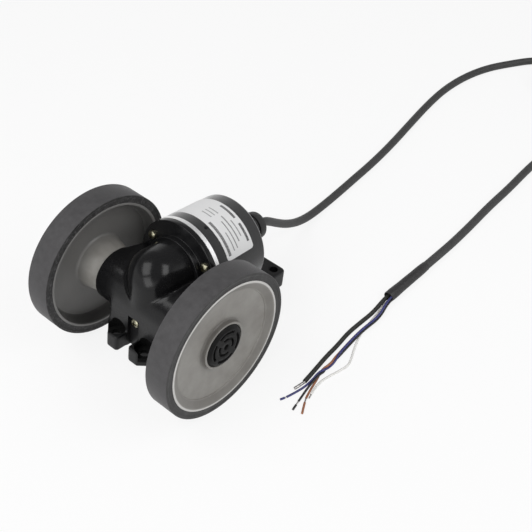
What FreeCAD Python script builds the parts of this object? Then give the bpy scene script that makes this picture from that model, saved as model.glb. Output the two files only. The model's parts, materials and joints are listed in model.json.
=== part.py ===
import FreeCAD, Part
import math
import os

# Measuring wheel encoder. Two rubber-tyred wheels on one axle turn an incremental rotary
# encoder through a pair of crossed helical gears. The housing is one casting: axle tubes,
# a domed gear chamber, a round flange for the encoder and a long foot with four holes.
#
# The pieces are modelled with the axle along X through the origin and the encoder pointing
# back along +Y. At the end they are turned and lifted to stand on the tyres and on the tail
# of the foot, with the ground at z = 0.

V = FreeCAD.Vector

# Wheels, in millimetres
wheel_radius = 39.8          # 250 mm round the tread
tyre_width = 13.4
tyre_depth = 4.2             # rubber from the rim to the tread
tyre_edge_round = 0.6
wheel_offset = 41.6          # middle of a tyre from the middle of the axle
rim_lip = 1.1                # width of the bright ring at the edge of the disc
rim_wall = 1.7
dish_slope_depth = 2.2       # from the rim face down to the foot of the sloped band
dish_slope_width = 4.2
dish_step = 0.5
web_thickness = 4.0
hub_lip_radius = 13.1
hub_lip_rise = 1.4           # above the web at its outer end
hub_fillet = 2.4
hub_dip = 1.2                # the web leans in towards the hub by this much
hub_pocket_radius = 11.2
hub_boss_radius = 12.6       # at the end next to the axle tube
hub_boss_flare = 2.4
hub_gap = 0.5                # between the boss and the axle tube

# Hub caps
cap_radius = 11.8
cap_thickness = 2.4
cap_sink = 0.4               # its edge is this far below the hub lip
cap_slot_depth = 1.0
cap_slot_width = 1.3
cap_outer_slot_radius = 8.3
cap_outer_slots = 4
cap_outer_slot_angle = 66.0
cap_inner_slot_radius = 4.6
cap_inner_slots = 2
cap_inner_slot_angle = 140.0
cap_eye_radius = 1.5
cap_crown = 1.6              # the grooved face stands out from the edge
cap_crown_radius = 10.2

# Axle and its fittings
axle_radius = 4.0
axle_end_short = 0.5         # the axle stops this far inside the hub, so that the washer clamps
end_screw_radius = 2.0
end_screw_depth = 12.0
end_screw_head_radius = 3.5
end_screw_head_height = 2.6
washer_radius = 7.0
washer_thickness = 1.0
spacer_radius = 6.0
gear_sleeve_radius = 5.5
running_clearance = 0.05

# Axle bearings and seals
axle_bearing_radius = 9.5
axle_bearing_width = 6.0
axle_bearing_balls = 8
seal_width = 3.0
ball_clearance = 0.04

# Gears
axis_rise = 12.0             # encoder axis above the axle
gear_teeth = 16
gear_width = 6.0
gear_helix = 45.0
gear_pressure_angle = 20.0
gear_backlash = 0.10
gear_root_gap = 0.25         # in modules
gear_chamber_gap = 0.5       # from the tips of the teeth to the wall

# Housing
tube_radius = 14.4
tube_half_length = 28.3
dome_centre_height = 14.5    # middle of the round top of the gear chamber
chamber_front = 8.0          # front of the upper chamber, from the axle
shoulder_radius = 17.5
shoulder_front = 11.5
flange_radius = 25.3
flange_front = 14.8
flange_thickness = 3.0
web_half_width = 24.0        # webs from the tube ends to the flange, at the flange
block_half_width = 17.2      # upright block between the foot and the axle tubes
foot_half_width = 17.9
foot_bottom = -25.0
foot_top = -14.0
lug_top = -18.0              # top of the front lugs
foot_front = -21.7
foot_rear = 82.5
foot_corner = 7.3            # slope across the front corners
foot_tail_round = 1.5
front_slot_half_width = 3.8
front_slot_top = -5.4
front_slot_floor = -12.2
foot_hole_radius = 2.5
front_hole_x = 10.2
front_hole_y = -15.95
counterbore_radius = 4.6     # round the front holes, also cut into the block
counterbore_floor = -21.0
counterbore_top = -9.5
rear_hole_x = 13.2
rear_hole_inset = 4.8        # from the tail edge

# Flange screws
flange_screw_circle = 21.0
flange_screw_radius = 1.5
flange_screw_head_radius = 2.8
flange_screw_head_height = 1.6
flange_screw_reach = 2.0     # into the encoder base
screw_hole_play = 0.1

# Encoder base, shaft and bearings
spigot_radius = 15.9
spigot_play = 0.1            # also round the register inside the cover
spigot_length = 4.6
base_edge = 2.3              # the metal edge that shows as a bright ring
base_hub_radius = 11.0
base_hub_length = 11.0
base_register = 2.5
shaft_radius = 3.0
shaft_front_overhang = 0.6
shaft_rear_overhang = 1.2
shaft_bearing_radius = 6.5
shaft_bearing_width = 5.0
shaft_bearing_balls = 7
shaft_bearing_bore = 5.2     # between the two bearings
shaft_spacer_radius = 4.2

# Code disc, light source and sensor
disc_hub_radius = 5.0
disc_hub_length = 2.6
disc_radius = 17.0
disc_thickness = 0.6
disc_slits = 30
disc_slit_radius = 14.6
disc_slit_length = 3.0
disc_slit_width = 0.9
optics_gap = 0.7             # from the disc to the light source and to the mask
optics_width = 8.0
optics_height = 5.0
mask_thickness = 0.5
sensor_thickness = 2.4
board_radius = 21.6
board_thickness = 1.6
board_post_radius = 1.7
board_post_circle = 19.4
board_screw_radius = 1.0
board_screw_head_radius = 1.9
board_screw_head_height = 1.2
board_screw_depth = 4.0

# Encoder cover and label
cover_front_radius = 25.0
cover_rear_radius = 24.4
cover_length = 33.1
cover_wall = 1.9
cover_rear_round = 1.2
cover_screw_radius = 0.9
cover_screw_place = 4.6      # from the front of the cover to the middle of the screw
cover_screw_angle = 72.0
cover_screw_head = 0.2
label_thickness = 0.15
label_inset = 6.2            # from the front of the cover
label_length = 19.0
label_start_angle = 25.0     # above the horizontal on the right
label_end_angle = 155.0

# Cable boot
boot_flange_radius = 8.6
boot_flange_length = 1.8
boot_neck_radius = 6.0
boot_collar_radius = 8.4
boot_collar_length = 2.6
boot_radius = 8.0
boot_groove_depth = 1.2
boot_rib = 1.5
boot_groove = 1.0
boot_ribs = 6
boot_tip_length = 3.7
boot_tip_radius = 7.4
boot_droop = 2.5             # degrees
boot_lead = 4.6              # straight stretch of cable beyond the boot

# Cable, sleeve and wires
cable_radius = 2.4
coil_radius = 27.0           # to the middle of the turns
coil_layers = 4
coil_layer_turns = 2.1       # turns side by side in a layer
coil_pitch = 5.0             # from one turn to the next
coil_centre = (64.0, 327.0)
coil_lift = 0.6
coil_lead = 28.0             # straight lead from the coil's tangent point
coil_lead_inset = 0.2        # of the leads, inside the outer shape of the turns
coil_leave_drop = 9.5        # by which the lead comes down from the top of the coil
coil_arrive_angle = 120.0
coil_leave_angle = -20.0
tie_thickness = 0.5
tie_width = 4.0
tie_angle = 210.0
sleeve_radius = 2.95
sleeve_start = (70.5, 118.5)
sleeve_end = (69.1, 87.5)
sleeve_lead = 13.0           # straight stretch of cable before the sleeve
wire_radius = 0.6
wire_lead = 5.0              # straight stretch of wire beyond the sleeve
shield_radius = 1.2
ground_gap = 0.05            # under what lies on the ground

# Places worked out from the driving dimensions
rim_radius = wheel_radius - tyre_depth
wheel_in = wheel_offset - tyre_width / 2
wheel_out = wheel_offset + tyre_width / 2
dish_floor = wheel_out - dish_slope_depth - dish_step
web_inside = dish_floor - web_thickness
hub_floor = dish_floor - hub_dip
hub_face = dish_floor + hub_lip_rise
cap_edge = hub_face - cap_sink
cap_face = cap_edge + cap_crown
cap_seat = cap_edge - cap_thickness
hub_inner_end = tube_half_length + hub_gap
pocket_floor = web_inside - washer_thickness
bearing_outer_end = tube_half_length - seal_width
bearing_inner_end = bearing_outer_end - axle_bearing_width
flange_back = flange_front + flange_thickness
base_back = flange_back + base_edge
spigot_front = flange_back - spigot_length
base_hub_end = base_back + base_hub_length
disc_front = base_hub_end + disc_hub_length
disc_back = disc_front + disc_thickness
mask_front = disc_back + optics_gap
sensor_front = mask_front + mask_thickness
board_front = sensor_front + sensor_thickness
board_back = board_front + board_thickness
cover_end = base_back + cover_length
boot_end = cover_end + boot_collar_length + boot_ribs * (boot_rib + boot_groove) + boot_tip_length
gear_pitch_radius = axis_rise / 2
gear_module = 2 * gear_pitch_radius * math.cos(math.radians(gear_helix)) / gear_teeth
gear_tip_radius = gear_pitch_radius + gear_module
chamber_radius = gear_tip_radius + gear_chamber_gap
coil_half_spread = coil_pitch * coil_layer_turns / 2
coil_half_section = coil_half_spread + cable_radius
coil_height = coil_pitch * (coil_layers - 1) + 2 * cable_radius
coil_low_turn = coil_lift + cable_radius + coil_lead_inset
coil_top_turn = coil_lift + coil_height - cable_radius - coil_lead_inset
cable_height = cable_radius + ground_gap

# Stance: the angle that brings the tail of the foot to the ground together with the tyres
tail_reach = math.hypot(foot_rear, foot_bottom)
tilt = math.asin(wheel_radius / tail_reach) - math.atan2(-foot_bottom, foot_rear)
tail_top_y = foot_rear * math.cos(tilt) + foot_top * math.sin(tilt)
middle_y = (tail_top_y - wheel_radius) / 2

X_AXIS = V(1, 0, 0)
Y_AXIS = V(0, 1, 0)
Z_AXIS = V(0, 0, 1)
AXLE = V(0, 0, 0)
SHAFT = V(0, 0, axis_rise)


def standing():
    """Placement from the modelling frame to the standing part."""
    turn = FreeCAD.Rotation(X_AXIS, -math.degrees(tilt))
    return FreeCAD.Placement(V(0, -middle_y, wheel_radius), turn)


def on_axle(along, out):
    return V(along, 0, out)


def on_shaft(along, out):
    return V(0, along, axis_rise + out)


def closed_face(place, start, *steps):
    """Face inside an outline. A step is a point, or a (through, end) pair for an arc."""
    edges = []
    first = place(*start)
    here = first
    for step in steps:
        if isinstance(step[0], tuple):
            end = place(*step[1])
            edges.append(Part.Arc(here, place(*step[0]), end).toShape())
        else:
            end = place(*step)
            edges.append(Part.LineSegment(here, end).toShape())
        here = end
    if here.distanceToPoint(first) > 0.001:
        edges.append(Part.LineSegment(here, first).toShape())
    return Part.Face(Part.Wire(edges))


def turned_on_axle(*profile):
    return closed_face(on_axle, *profile).revolve(AXLE, X_AXIS, 360)


def turned_on_shaft(*profile):
    return closed_face(on_shaft, *profile).revolve(SHAFT, Y_AXIS, 360)


def ring(turned, start, end, inner, outer):
    """Plain ring between two places along an axis."""
    return turned((start, inner), (end, inner), (end, outer), (start, outer))


def axle_rod(start, end, radius):
    return Part.makeCylinder(radius, end - start, V(start, 0, 0), X_AXIS)


def shaft_rod(start, end, radius, across=0.0, up=0.0):
    return Part.makeCylinder(radius, end - start, V(across, start, axis_rise + up), Y_AXIS)


def pair(right_piece):
    """The right-hand piece and its mirror image, as one group."""
    return Part.makeCompound([right_piece, mirrored(right_piece)])


def mirrored(piece):
    return piece.mirror(AXLE, X_AXIS)


def around_shaft(piece, angle):
    turned = piece.copy()
    turned.rotate(SHAFT, Y_AXIS, angle)
    return turned


def tyre():
    body = ring(turned_on_axle, wheel_in, wheel_out, rim_radius, wheel_radius)
    tread_edges = [e for e in body.Edges if abs(e.BoundBox.ZLength - 2 * wheel_radius) < 0.01]
    return body.makeFillet(tyre_edge_round, tread_edges)


def wheel_disc():
    """Dished disc: rim, sloped band, web, hub boss towards the axle tube and a pocket outside."""
    band_top = rim_radius - rim_lip
    band_foot = band_top - dish_slope_width
    fillet_mid = hub_fillet * (1 - math.sqrt(0.5))
    inside_rim = rim_radius - rim_wall
    boss_root = hub_boss_radius + hub_boss_flare
    return turned_on_axle(
        (wheel_out, rim_radius),
        (wheel_out, band_top),
        (wheel_out - dish_slope_depth, band_foot),
        (dish_floor, band_foot),
        (hub_floor, hub_lip_radius + hub_fillet),
        ((hub_floor + fillet_mid, hub_lip_radius + fillet_mid), (hub_floor + hub_fillet, hub_lip_radius)),
        (hub_face, hub_lip_radius),
        (hub_face, cap_radius),
        (cap_seat, cap_radius),
        (cap_seat, hub_pocket_radius),
        (pocket_floor, hub_pocket_radius),
        (pocket_floor, axle_radius),
        (hub_inner_end, axle_radius),
        (hub_inner_end, hub_boss_radius),
        (web_inside, boss_root),
        (web_inside, inside_rim - rim_wall),
        (wheel_in + rim_wall, inside_rim),
        (wheel_in, inside_rim),
        (wheel_in, rim_radius))


def arc_slot(radius, middle_angle, angle):
    """Cutter for one arc groove in the face of the hub cap."""
    inner = radius - cap_slot_width / 2
    slot = Part.makeCylinder(inner + cap_slot_width, 2 * cap_slot_depth, V(cap_face - cap_slot_depth, 0, 0),
                             X_AXIS, angle)
    slot = slot.cut(Part.makeCylinder(inner, 2 * cap_slot_depth, V(cap_face - cap_slot_depth, 0, 0), X_AXIS))
    slot.rotate(AXLE, X_AXIS, middle_angle - angle / 2)
    return slot


def hub_cap():
    cap = turned_on_axle((cap_seat, 0), (cap_seat, cap_radius), (cap_edge, cap_radius),
                         (cap_face, cap_crown_radius), (cap_face, 0))
    for i in range(cap_outer_slots):
        cap = cap.cut(arc_slot(cap_outer_slot_radius, i * 360 / cap_outer_slots, cap_outer_slot_angle))
    for i in range(cap_inner_slots):
        cap = cap.cut(arc_slot(cap_inner_slot_radius, 45 + i * 360 / cap_inner_slots, cap_inner_slot_angle))
    return cap.cut(axle_rod(cap_face - cap_slot_depth, cap_face, cap_eye_radius))


def axle():
    end = pocket_floor - axle_end_short
    rod = axle_rod(-end, end, axle_radius)
    hole = axle_rod(pocket_floor - end_screw_depth, end, end_screw_radius)
    return rod.cut(hole).cut(mirrored(hole))


def end_screw():
    seat = pocket_floor + washer_thickness
    shank = axle_rod(pocket_floor - end_screw_depth, seat, end_screw_radius)
    return shank.fuse(axle_rod(seat, seat + end_screw_head_height, end_screw_head_radius)).removeSplitter()


def ball_bearing(turned, start, width, bore, outer, balls, place_ball):
    """Outer ring, inner ring and the balls, which roll in grooves of both."""
    ball_share = 0.28        # ball radius, of the room between the bore and the outside
    shoulder_share = 0.55    # height of the ring edges, of the groove radius
    middle = start + width / 2
    pitch = (bore + outer) / 2
    ball = (outer - bore) * ball_share
    groove = ball + ball_clearance
    step = groove * shoulder_share
    half = math.sqrt(groove ** 2 - step ** 2)
    end = start + width
    outer_ring = turned(
        (start, outer), (end, outer), (end, pitch + step), (middle + half, pitch + step),
        ((middle, pitch + groove), (middle - half, pitch + step)), (start, pitch + step))
    inner_ring = turned(
        (start, bore), (end, bore), (end, pitch - step), (middle + half, pitch - step),
        ((middle, pitch - groove), (middle - half, pitch - step)), (start, pitch - step))
    spheres = []
    for i in range(balls):
        angle = 2 * math.pi * i / balls
        centre = place_ball(middle, pitch * math.cos(angle), pitch * math.sin(angle))
        spheres.append(Part.makeSphere(ball, centre))
    return outer_ring, inner_ring, spheres


def axle_bearing():
    return ball_bearing(turned_on_axle, bearing_inner_end, axle_bearing_width, axle_radius, axle_bearing_radius,
                        axle_bearing_balls, lambda along, a, b: V(along, a, b))


def shaft_bearing(start):
    return ball_bearing(turned_on_shaft, start, shaft_bearing_width, shaft_radius, shaft_bearing_radius,
                        shaft_bearing_balls, lambda along, a, b: V(a, along, axis_rise + b))


def tooth_half_angle(radius, base_radius, pitch_half_angle, pitch_involute):
    """Half the angle of a tooth at a radius, on an involute flank."""
    pressure = math.acos(min(1.0, base_radius / radius))
    return pitch_half_angle + pitch_involute - (math.tan(pressure) - pressure)


def gear_section(phase):
    """Closed outline of the teeth in the plane z = 0, with involute flanks as arcs."""
    transverse = math.atan(math.tan(math.radians(gear_pressure_angle)) / math.cos(math.radians(gear_helix)))
    base = gear_pitch_radius * math.cos(transverse)
    root = gear_pitch_radius - gear_module * (1 + gear_root_gap)
    low = max(base, root)
    pitch_half = math.pi / (2 * gear_teeth) - gear_backlash / (2 * gear_pitch_radius)
    involute = math.tan(transverse) - transverse

    def point(radius, angle):
        return V(radius * math.cos(angle), radius * math.sin(angle), 0)

    def flank(radius):
        return tooth_half_angle(radius, base, pitch_half, involute)

    middle = (low + gear_tip_radius) / 2
    edges = []
    for i in range(gear_teeth):
        centre = phase + 2 * math.pi * i / gear_teeth
        after = centre + 2 * math.pi / gear_teeth
        rise = (point(low, centre - flank(low)), point(middle, centre - flank(middle)),
                point(gear_tip_radius, centre - flank(gear_tip_radius)))
        fall = (point(gear_tip_radius, centre + flank(gear_tip_radius)), point(middle, centre + flank(middle)),
                point(low, centre + flank(low)))
        valley = point(root, (centre + after) / 2)
        edges.append(Part.Arc(*rise).toShape())
        edges.append(Part.LineSegment(rise[2], fall[0]).toShape())
        edges.append(Part.Arc(*fall).toShape())
        edges.append(Part.Arc(fall[2], valley, point(low, after - flank(low))).toShape())
    return Part.Wire(edges)


def helical_gear(phase, bore):
    """Right-handed gear about Z, centred on the origin."""
    start = V(0, 0, -gear_width / 2)
    slope = math.tan(math.radians(gear_helix))
    section = gear_section(phase - gear_width / 2 * slope / gear_pitch_radius)
    section.translate(start)
    spine = Part.Wire(Part.LineSegment(start, V(0, 0, gear_width / 2)).toShape())
    helix = Part.makeHelix(2 * math.pi * gear_pitch_radius / slope, gear_width, gear_pitch_radius)
    helix.translate(start)
    sweep = Part.BRepOffsetAPI.MakePipeShell(spine)
    sweep.setAuxiliarySpine(Part.Wire(helix), True, 0)
    sweep.add(section)
    sweep.build()
    sweep.makeSolid()
    return sweep.shape().cut(Part.makeCylinder(bore, 2 * gear_width, V(0, 0, -gear_width)))


def drive_gear():
    """On the axle, with a tooth straight up in its middle plane."""
    gear = helical_gear(math.pi, axle_radius)
    gear.rotate(AXLE, Y_AXIS, 90)
    return gear


def driven_gear():
    """On the encoder shaft, with a gap straight down in its middle plane."""
    gear = helical_gear(math.pi / 2 + math.pi / gear_teeth, shaft_radius)
    gear.rotate(AXLE, X_AXIS, -90)
    gear.translate(SHAFT)
    return gear


def foot():
    """Long foot: two front lugs with sloped corners, and a tail behind the encoder."""
    def plan(across, along):
        return V(across, along, foot_bottom)

    shelf = foot_front + foot_corner
    lug_edge = foot_half_width - foot_corner
    face = closed_face(plan, (-lug_edge, foot_front), (lug_edge, foot_front), (foot_half_width, shelf),
                       (foot_half_width, foot_rear), (-foot_half_width, foot_rear), (-foot_half_width, shelf))
    block = face.extrude(V(0, 0, foot_top - foot_bottom))
    block = block.cut(Part.makeBox(2 * foot_half_width, -tube_radius - foot_front, foot_top - lug_top,
                                   V(-foot_half_width, foot_front, lug_top)))
    tail = [e for e in block.Edges if e.BoundBox.ZLength > 1 and e.BoundBox.YMin > foot_rear - 0.01]
    return block.makeFillet(foot_tail_round, tail)


def foot_holes():
    places = [(front_hole_x, front_hole_y), (rear_hole_x, foot_rear - rear_hole_inset)]
    height = foot_top - foot_bottom
    return [(side * x, y, height) for x, y in places for side in (-1, 1)]


def flange_screw_places():
    """Places of the screws round the encoder axis: two at the top, one below the axle."""
    return [(flange_screw_circle * math.cos(a), flange_screw_circle * math.sin(a))
            for a in (math.radians(30), math.radians(150), math.radians(270))]


def flange_web():
    """Web that runs from the whole length of the axle tubes back to the flange."""
    def plan(across, along):
        return V(across, along, -tube_radius)

    face = closed_face(plan, (-tube_half_length, 0), (tube_half_length, 0), (web_half_width, flange_front),
                       (-web_half_width, flange_front))
    return face.extrude(V(0, 0, 2 * tube_radius))


def gear_housing():
    body = axle_rod(-tube_half_length, tube_half_length, tube_radius)
    body = body.fuse(Part.makeCylinder(tube_radius, dome_centre_height))
    body = body.fuse(Part.makeSphere(tube_radius, V(0, 0, dome_centre_height)))
    body = body.fuse(Part.makeCylinder(tube_radius, flange_front, V(0, 0, dome_centre_height), Y_AXIS))
    body = body.fuse(shaft_rod(shoulder_front, flange_back, shoulder_radius))
    body = body.fuse(shaft_rod(flange_front, flange_back, flange_radius))
    body = body.fuse(flange_web())
    depth = flange_back + tube_radius
    body = body.fuse(Part.makeBox(2 * block_half_width, depth, -foot_bottom,
                                  V(-block_half_width, -tube_radius, foot_bottom)))
    body = body.fuse(foot()).removeSplitter()
    slot_depth = front_slot_floor - foot_front
    cuts = [Part.makeBox(2 * front_slot_half_width, slot_depth, front_slot_top - foot_bottom,
                         V(-front_slot_half_width, foot_front, foot_bottom))]
    cuts.append(axle_rod(-tube_half_length, tube_half_length, chamber_radius))
    seat = axle_rod(bearing_inner_end, tube_half_length, axle_bearing_radius)
    cuts += [seat, mirrored(seat)]
    cuts.append(shaft_rod(-chamber_front, flange_back, chamber_radius))
    cuts.append(shaft_rod(spigot_front, flange_back, spigot_radius + spigot_play))
    for x, y, height in foot_holes():
        cuts.append(Part.makeCylinder(foot_hole_radius, height, V(x, y, foot_bottom)))
    for side in (-1, 1):
        cuts.append(Part.makeCylinder(counterbore_radius, counterbore_top - counterbore_floor,
                                      V(side * front_hole_x, front_hole_y, counterbore_floor)))
    for across, up in flange_screw_places():
        front = front_slot_floor if up < 0 else flange_front
        cuts.append(shaft_rod(front, flange_back, flange_screw_radius + screw_hole_play, across, up))
    for cut in cuts:
        body = body.cut(cut)
    return body.removeSplitter()


def flange_screws():
    """Two short screws at the top, and a long one that runs under the axle from the front slot."""
    screws = []
    for across, up in flange_screw_places():
        seat = front_slot_floor if up < 0 else flange_front
        head = shaft_rod(seat - flange_screw_head_height, seat, flange_screw_head_radius, across, up)
        rim = [e for e in head.Edges if abs(e.BoundBox.YMax - seat + flange_screw_head_height) < 0.01]
        head = head.makeFillet(flange_screw_head_height / 2, rim)
        shank = shaft_rod(seat, flange_back + flange_screw_reach, flange_screw_radius, across, up)
        screws.append(head.fuse(shank).removeSplitter())
    return Part.makeCompound(screws)


def encoder_base():
    """Turned metal base: spigot, bright edge, register for the cover and bearing hub."""
    register = cover_radius_at(base_back + base_register) - cover_wall - spigot_play
    base = turned_on_shaft(
        (spigot_front, shaft_bearing_radius),
        (spigot_front + shaft_bearing_width, shaft_bearing_radius),
        (spigot_front + shaft_bearing_width, shaft_bearing_bore),
        (base_hub_end - shaft_bearing_width, shaft_bearing_bore),
        (base_hub_end - shaft_bearing_width, shaft_bearing_radius),
        (base_hub_end, shaft_bearing_radius),
        (base_hub_end, base_hub_radius),
        (base_back, base_hub_radius),
        (base_back, register - cover_wall),
        (base_back + base_register, register - cover_wall),
        (base_back + base_register, register),
        (base_back, register),
        (base_back, flange_radius),
        (flange_back, flange_radius),
        (flange_back, spigot_radius),
        (spigot_front, spigot_radius))
    screw_end = flange_back + flange_screw_reach
    for across, up in flange_screw_places():
        base = base.cut(shaft_rod(flange_back, screw_end, flange_screw_radius, across, up))
    return base


def encoder_shaft():
    return shaft_rod(-gear_width / 2 - shaft_front_overhang, disc_back + shaft_rear_overhang, shaft_radius)


def code_disc():
    disc = ring(turned_on_shaft, disc_front, disc_back, shaft_radius, disc_radius)
    slit_low = axis_rise + disc_slit_radius - disc_slit_length / 2
    slit = Part.makeBox(disc_slit_width, disc_thickness, disc_slit_length,
                        V(-disc_slit_width / 2, disc_front, slit_low))
    slits = [around_shaft(slit, i * 360 / disc_slits) for i in range(disc_slits)]
    return disc.cut(Part.makeCompound(slits))


def optics_block(start, end):
    """Block over the slits of the disc, above the shaft."""
    low = axis_rise + disc_slit_radius - optics_height / 2
    return Part.makeBox(optics_width, end - start, optics_height, V(-optics_width / 2, start, low))


def board_post_places():
    return [(board_post_circle * math.cos(a), board_post_circle * math.sin(a))
            for a in (math.radians(-30), math.radians(210), math.radians(150))]


def circuit_board():
    board = shaft_rod(board_front, board_back, board_radius)
    for across, up in board_post_places():
        board = board.cut(shaft_rod(board_front, board_back, board_screw_radius, across, up))
    return board


def board_posts():
    posts = []
    for across, up in board_post_places():
        post = shaft_rod(base_back, board_front, board_post_radius, across, up)
        hole = shaft_rod(board_front - board_screw_depth, board_front, board_screw_radius, across, up)
        posts.append(post.cut(hole))
    return Part.makeCompound(posts)


def board_screws():
    screws = []
    for across, up in board_post_places():
        shank = shaft_rod(board_front - board_screw_depth, board_back, board_screw_radius, across, up)
        head = shaft_rod(board_back, board_back + board_screw_head_height, board_screw_head_radius, across, up)
        screws.append(shank.fuse(head).removeSplitter())
    return Part.makeCompound(screws)


def cover_radius_at(along):
    share = (along - base_back) / cover_length
    return cover_front_radius + (cover_rear_radius - cover_front_radius) * share


def cover_screw_hole():
    """Cutter and screw seat through the wall, square to the encoder axis."""
    reach = cover_front_radius + cover_screw_head - (cover_front_radius - 2 * cover_wall)
    start = V(cover_front_radius - 2 * cover_wall, base_back + cover_screw_place, axis_rise)
    return Part.makeCylinder(cover_screw_radius, reach, start, X_AXIS)


def cover_screw_set(piece):
    return [around_shaft(piece, -cover_screw_angle + i * 120) for i in range(3)]


def encoder_cover():
    round_mid = cover_rear_round * (1 - math.sqrt(0.5))
    bend = cover_radius_at(cover_end - cover_rear_round)
    cover = turned_on_shaft(
        (base_back, cover_front_radius),
        (cover_end - cover_rear_round, bend),
        ((cover_end - round_mid, bend - round_mid), (cover_end, bend - cover_rear_round)),
        (cover_end, boot_neck_radius),
        (cover_end - cover_wall, boot_neck_radius),
        (cover_end - cover_wall, cover_rear_radius - cover_wall),
        (base_back, cover_front_radius - cover_wall))
    return cover.cut(Part.makeCompound(cover_screw_set(cover_screw_hole())))


def label():
    """Thin sticker wrapped over the top of the cover."""
    start = base_back + label_inset
    end = start + label_length
    strip = closed_face(on_shaft, (start, cover_radius_at(start)), (end, cover_radius_at(end)),
                        (end, cover_radius_at(end) + label_thickness),
                        (start, cover_radius_at(start) + label_thickness))
    wrapped = strip.revolve(SHAFT, Y_AXIS, label_end_angle - label_start_angle)
    wrapped.rotate(SHAFT, Y_AXIS, 90 - label_end_angle)
    return wrapped


def cable_boot():
    """Ribbed rubber boot: a flange inside the cover, and a drooping ribbed sleeve outside."""
    flange_end = cover_end - cover_wall
    flange_start = flange_end - boot_flange_length
    inside = turned_on_shaft(
        (flange_start, 0), (flange_start, boot_flange_radius), (flange_end, boot_flange_radius),
        (flange_end, boot_neck_radius), (cover_end, boot_neck_radius), (cover_end, 0))
    along = cover_end + boot_collar_length
    valley = boot_radius - boot_groove_depth
    profile = [(cover_end, 0), (cover_end, boot_collar_radius), (along, boot_collar_radius)]
    for i in range(boot_ribs):
        rib_start = along + boot_groove
        rib_end = rib_start + boot_rib
        profile += [(along, valley), (rib_start, valley), (rib_start, boot_radius), (rib_end, boot_radius)]
        along = rib_end
    profile += [(boot_end, boot_tip_radius), (boot_end, 0)]
    outside = turned_on_shaft(*profile)
    outside.rotate(on_shaft(cover_end, 0), X_AXIS, -boot_droop)
    wedge = shaft_rod(flange_end, cover_end, boot_collar_radius * 2)
    return outside.cut(wedge).fuse(inside).removeSplitter()


def cord(points, radius, name):
    """Round cord along straight runs joined by tangent arcs as large as the runs allow."""
    run_share = 0.45         # of the shorter run, taken by the arc on each side of a corner
    points = [V(*p) for p in points]
    edges = []
    radii = []
    length = 0.0
    here = points[0]
    for before, corner, after in zip(points, points[1:], points[2:]):
        to_corner = corner - before
        from_corner = after - corner
        turn = to_corner.getAngle(from_corner)
        tangent = run_share * min(to_corner.Length, from_corner.Length)
        bend = tangent / math.tan(turn / 2)
        radii.append(bend)
        into = corner - to_corner.normalize() * tangent
        out = corner + from_corner.normalize() * tangent
        inward = (into + out) * 0.5 - corner
        inward.normalize()
        top = corner + inward * (bend / math.cos(turn / 2) - bend)
        edges.append(Part.LineSegment(here, into).toShape())
        edges.append(Part.Arc(into, top, out).toShape())
        length += (into - here).Length + bend * turn
        here = out
    edges.append(Part.LineSegment(here, points[-1]).toShape())
    length += (points[-1] - here).Length
    path = Part.Wire(edges)
    start_face = Part.Wire(Part.Circle(points[0], points[1] - points[0], radius).toShape())
    tube = path.makePipeShell([start_face], True, False)
    expected = math.pi * radius ** 2 * length
    print(f"{name}: length {length:.1f}, volume {tube.Volume / expected:.4f} of section times length, radii "
          + " ".join(f"{r:.0f}" for r in radii))
    return tube


def boot_tip():
    """Middle of the boot's end face and a point further along the boot, standing."""
    turn = FreeCAD.Rotation(X_AXIS, -boot_droop)
    root = on_shaft(cover_end, 0)
    tip = root + turn.multVec(V(0, boot_end - cover_end, 0))
    ahead = tip + turn.multVec(V(0, boot_lead, 0))
    stand = standing()
    return stand.multVec(tip), stand.multVec(ahead)


def coil_touch(angle, height, drop):
    """Point on the outermost turn at an angle, and the way the cable runs there, clockwise."""
    turn = math.radians(angle)
    x, y = coil_centre
    out = coil_radius + coil_half_spread - coil_lead_inset
    touch = V(x + out * math.cos(turn), y + out * math.sin(turn), height)
    return touch, V(math.sin(turn), -math.cos(turn), -drop / coil_lead).normalize()


def coil_arrival():
    """Where the cable reaches the lowest turn, and its way there."""
    return coil_touch(coil_arrive_angle, coil_low_turn, 0)


def coil_departure():
    """Where the cable leaves the top turn, and its way down from there."""
    return coil_touch(coil_leave_angle, coil_top_turn, coil_leave_drop)


def cable_out_points():
    tip, ahead = boot_tip()
    touch, way = coil_arrival()
    return [
        tuple(tip), tuple(ahead), (-0.6, 64.6, 33.6), (-1.7, 74.8, 23.3), (-2.6, 83.8, 15.2),
        (-3.6, 94.2, 8.6), (-4.6, 105.5, 4.3), (-5.4, 118.0, cable_height), (-5.6, 134.0, cable_height),
        (-6.3, 152.0, cable_height), (-6.9, 171.0, cable_height), (-8.8, 193.0, cable_height),
        (-12.2, 218.0, cable_height), (-15.4, 242.0, cable_height), (-17.0, 265.0, cable_height),
        (-14.6, 287.0, cable_height), (-8.4, 306.0, cable_height), (1.4, 321.6, cable_height),
        tuple(touch - way * 1.5 * coil_lead), tuple(touch - way * coil_lead)]


def cable_back_points():
    touch, way = coil_departure()
    ahead = sleeve_direction()
    start = V(*sleeve_start, sleeve_radius)
    return [
        tuple(touch + way * coil_lead), tuple(touch + way * 1.5 * coil_lead),
        (73.4, 262.5, cable_height), (70.4, 246.0, cable_height),
        (69.8, 228.0, cable_height), (70.6, 206.0, cable_height), (70.3, 184.0, cable_height),
        (71.1, 163.0, cable_height), (71.3, 145.0, cable_height), tuple(start - ahead * sleeve_lead),
        tuple(start)]


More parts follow.
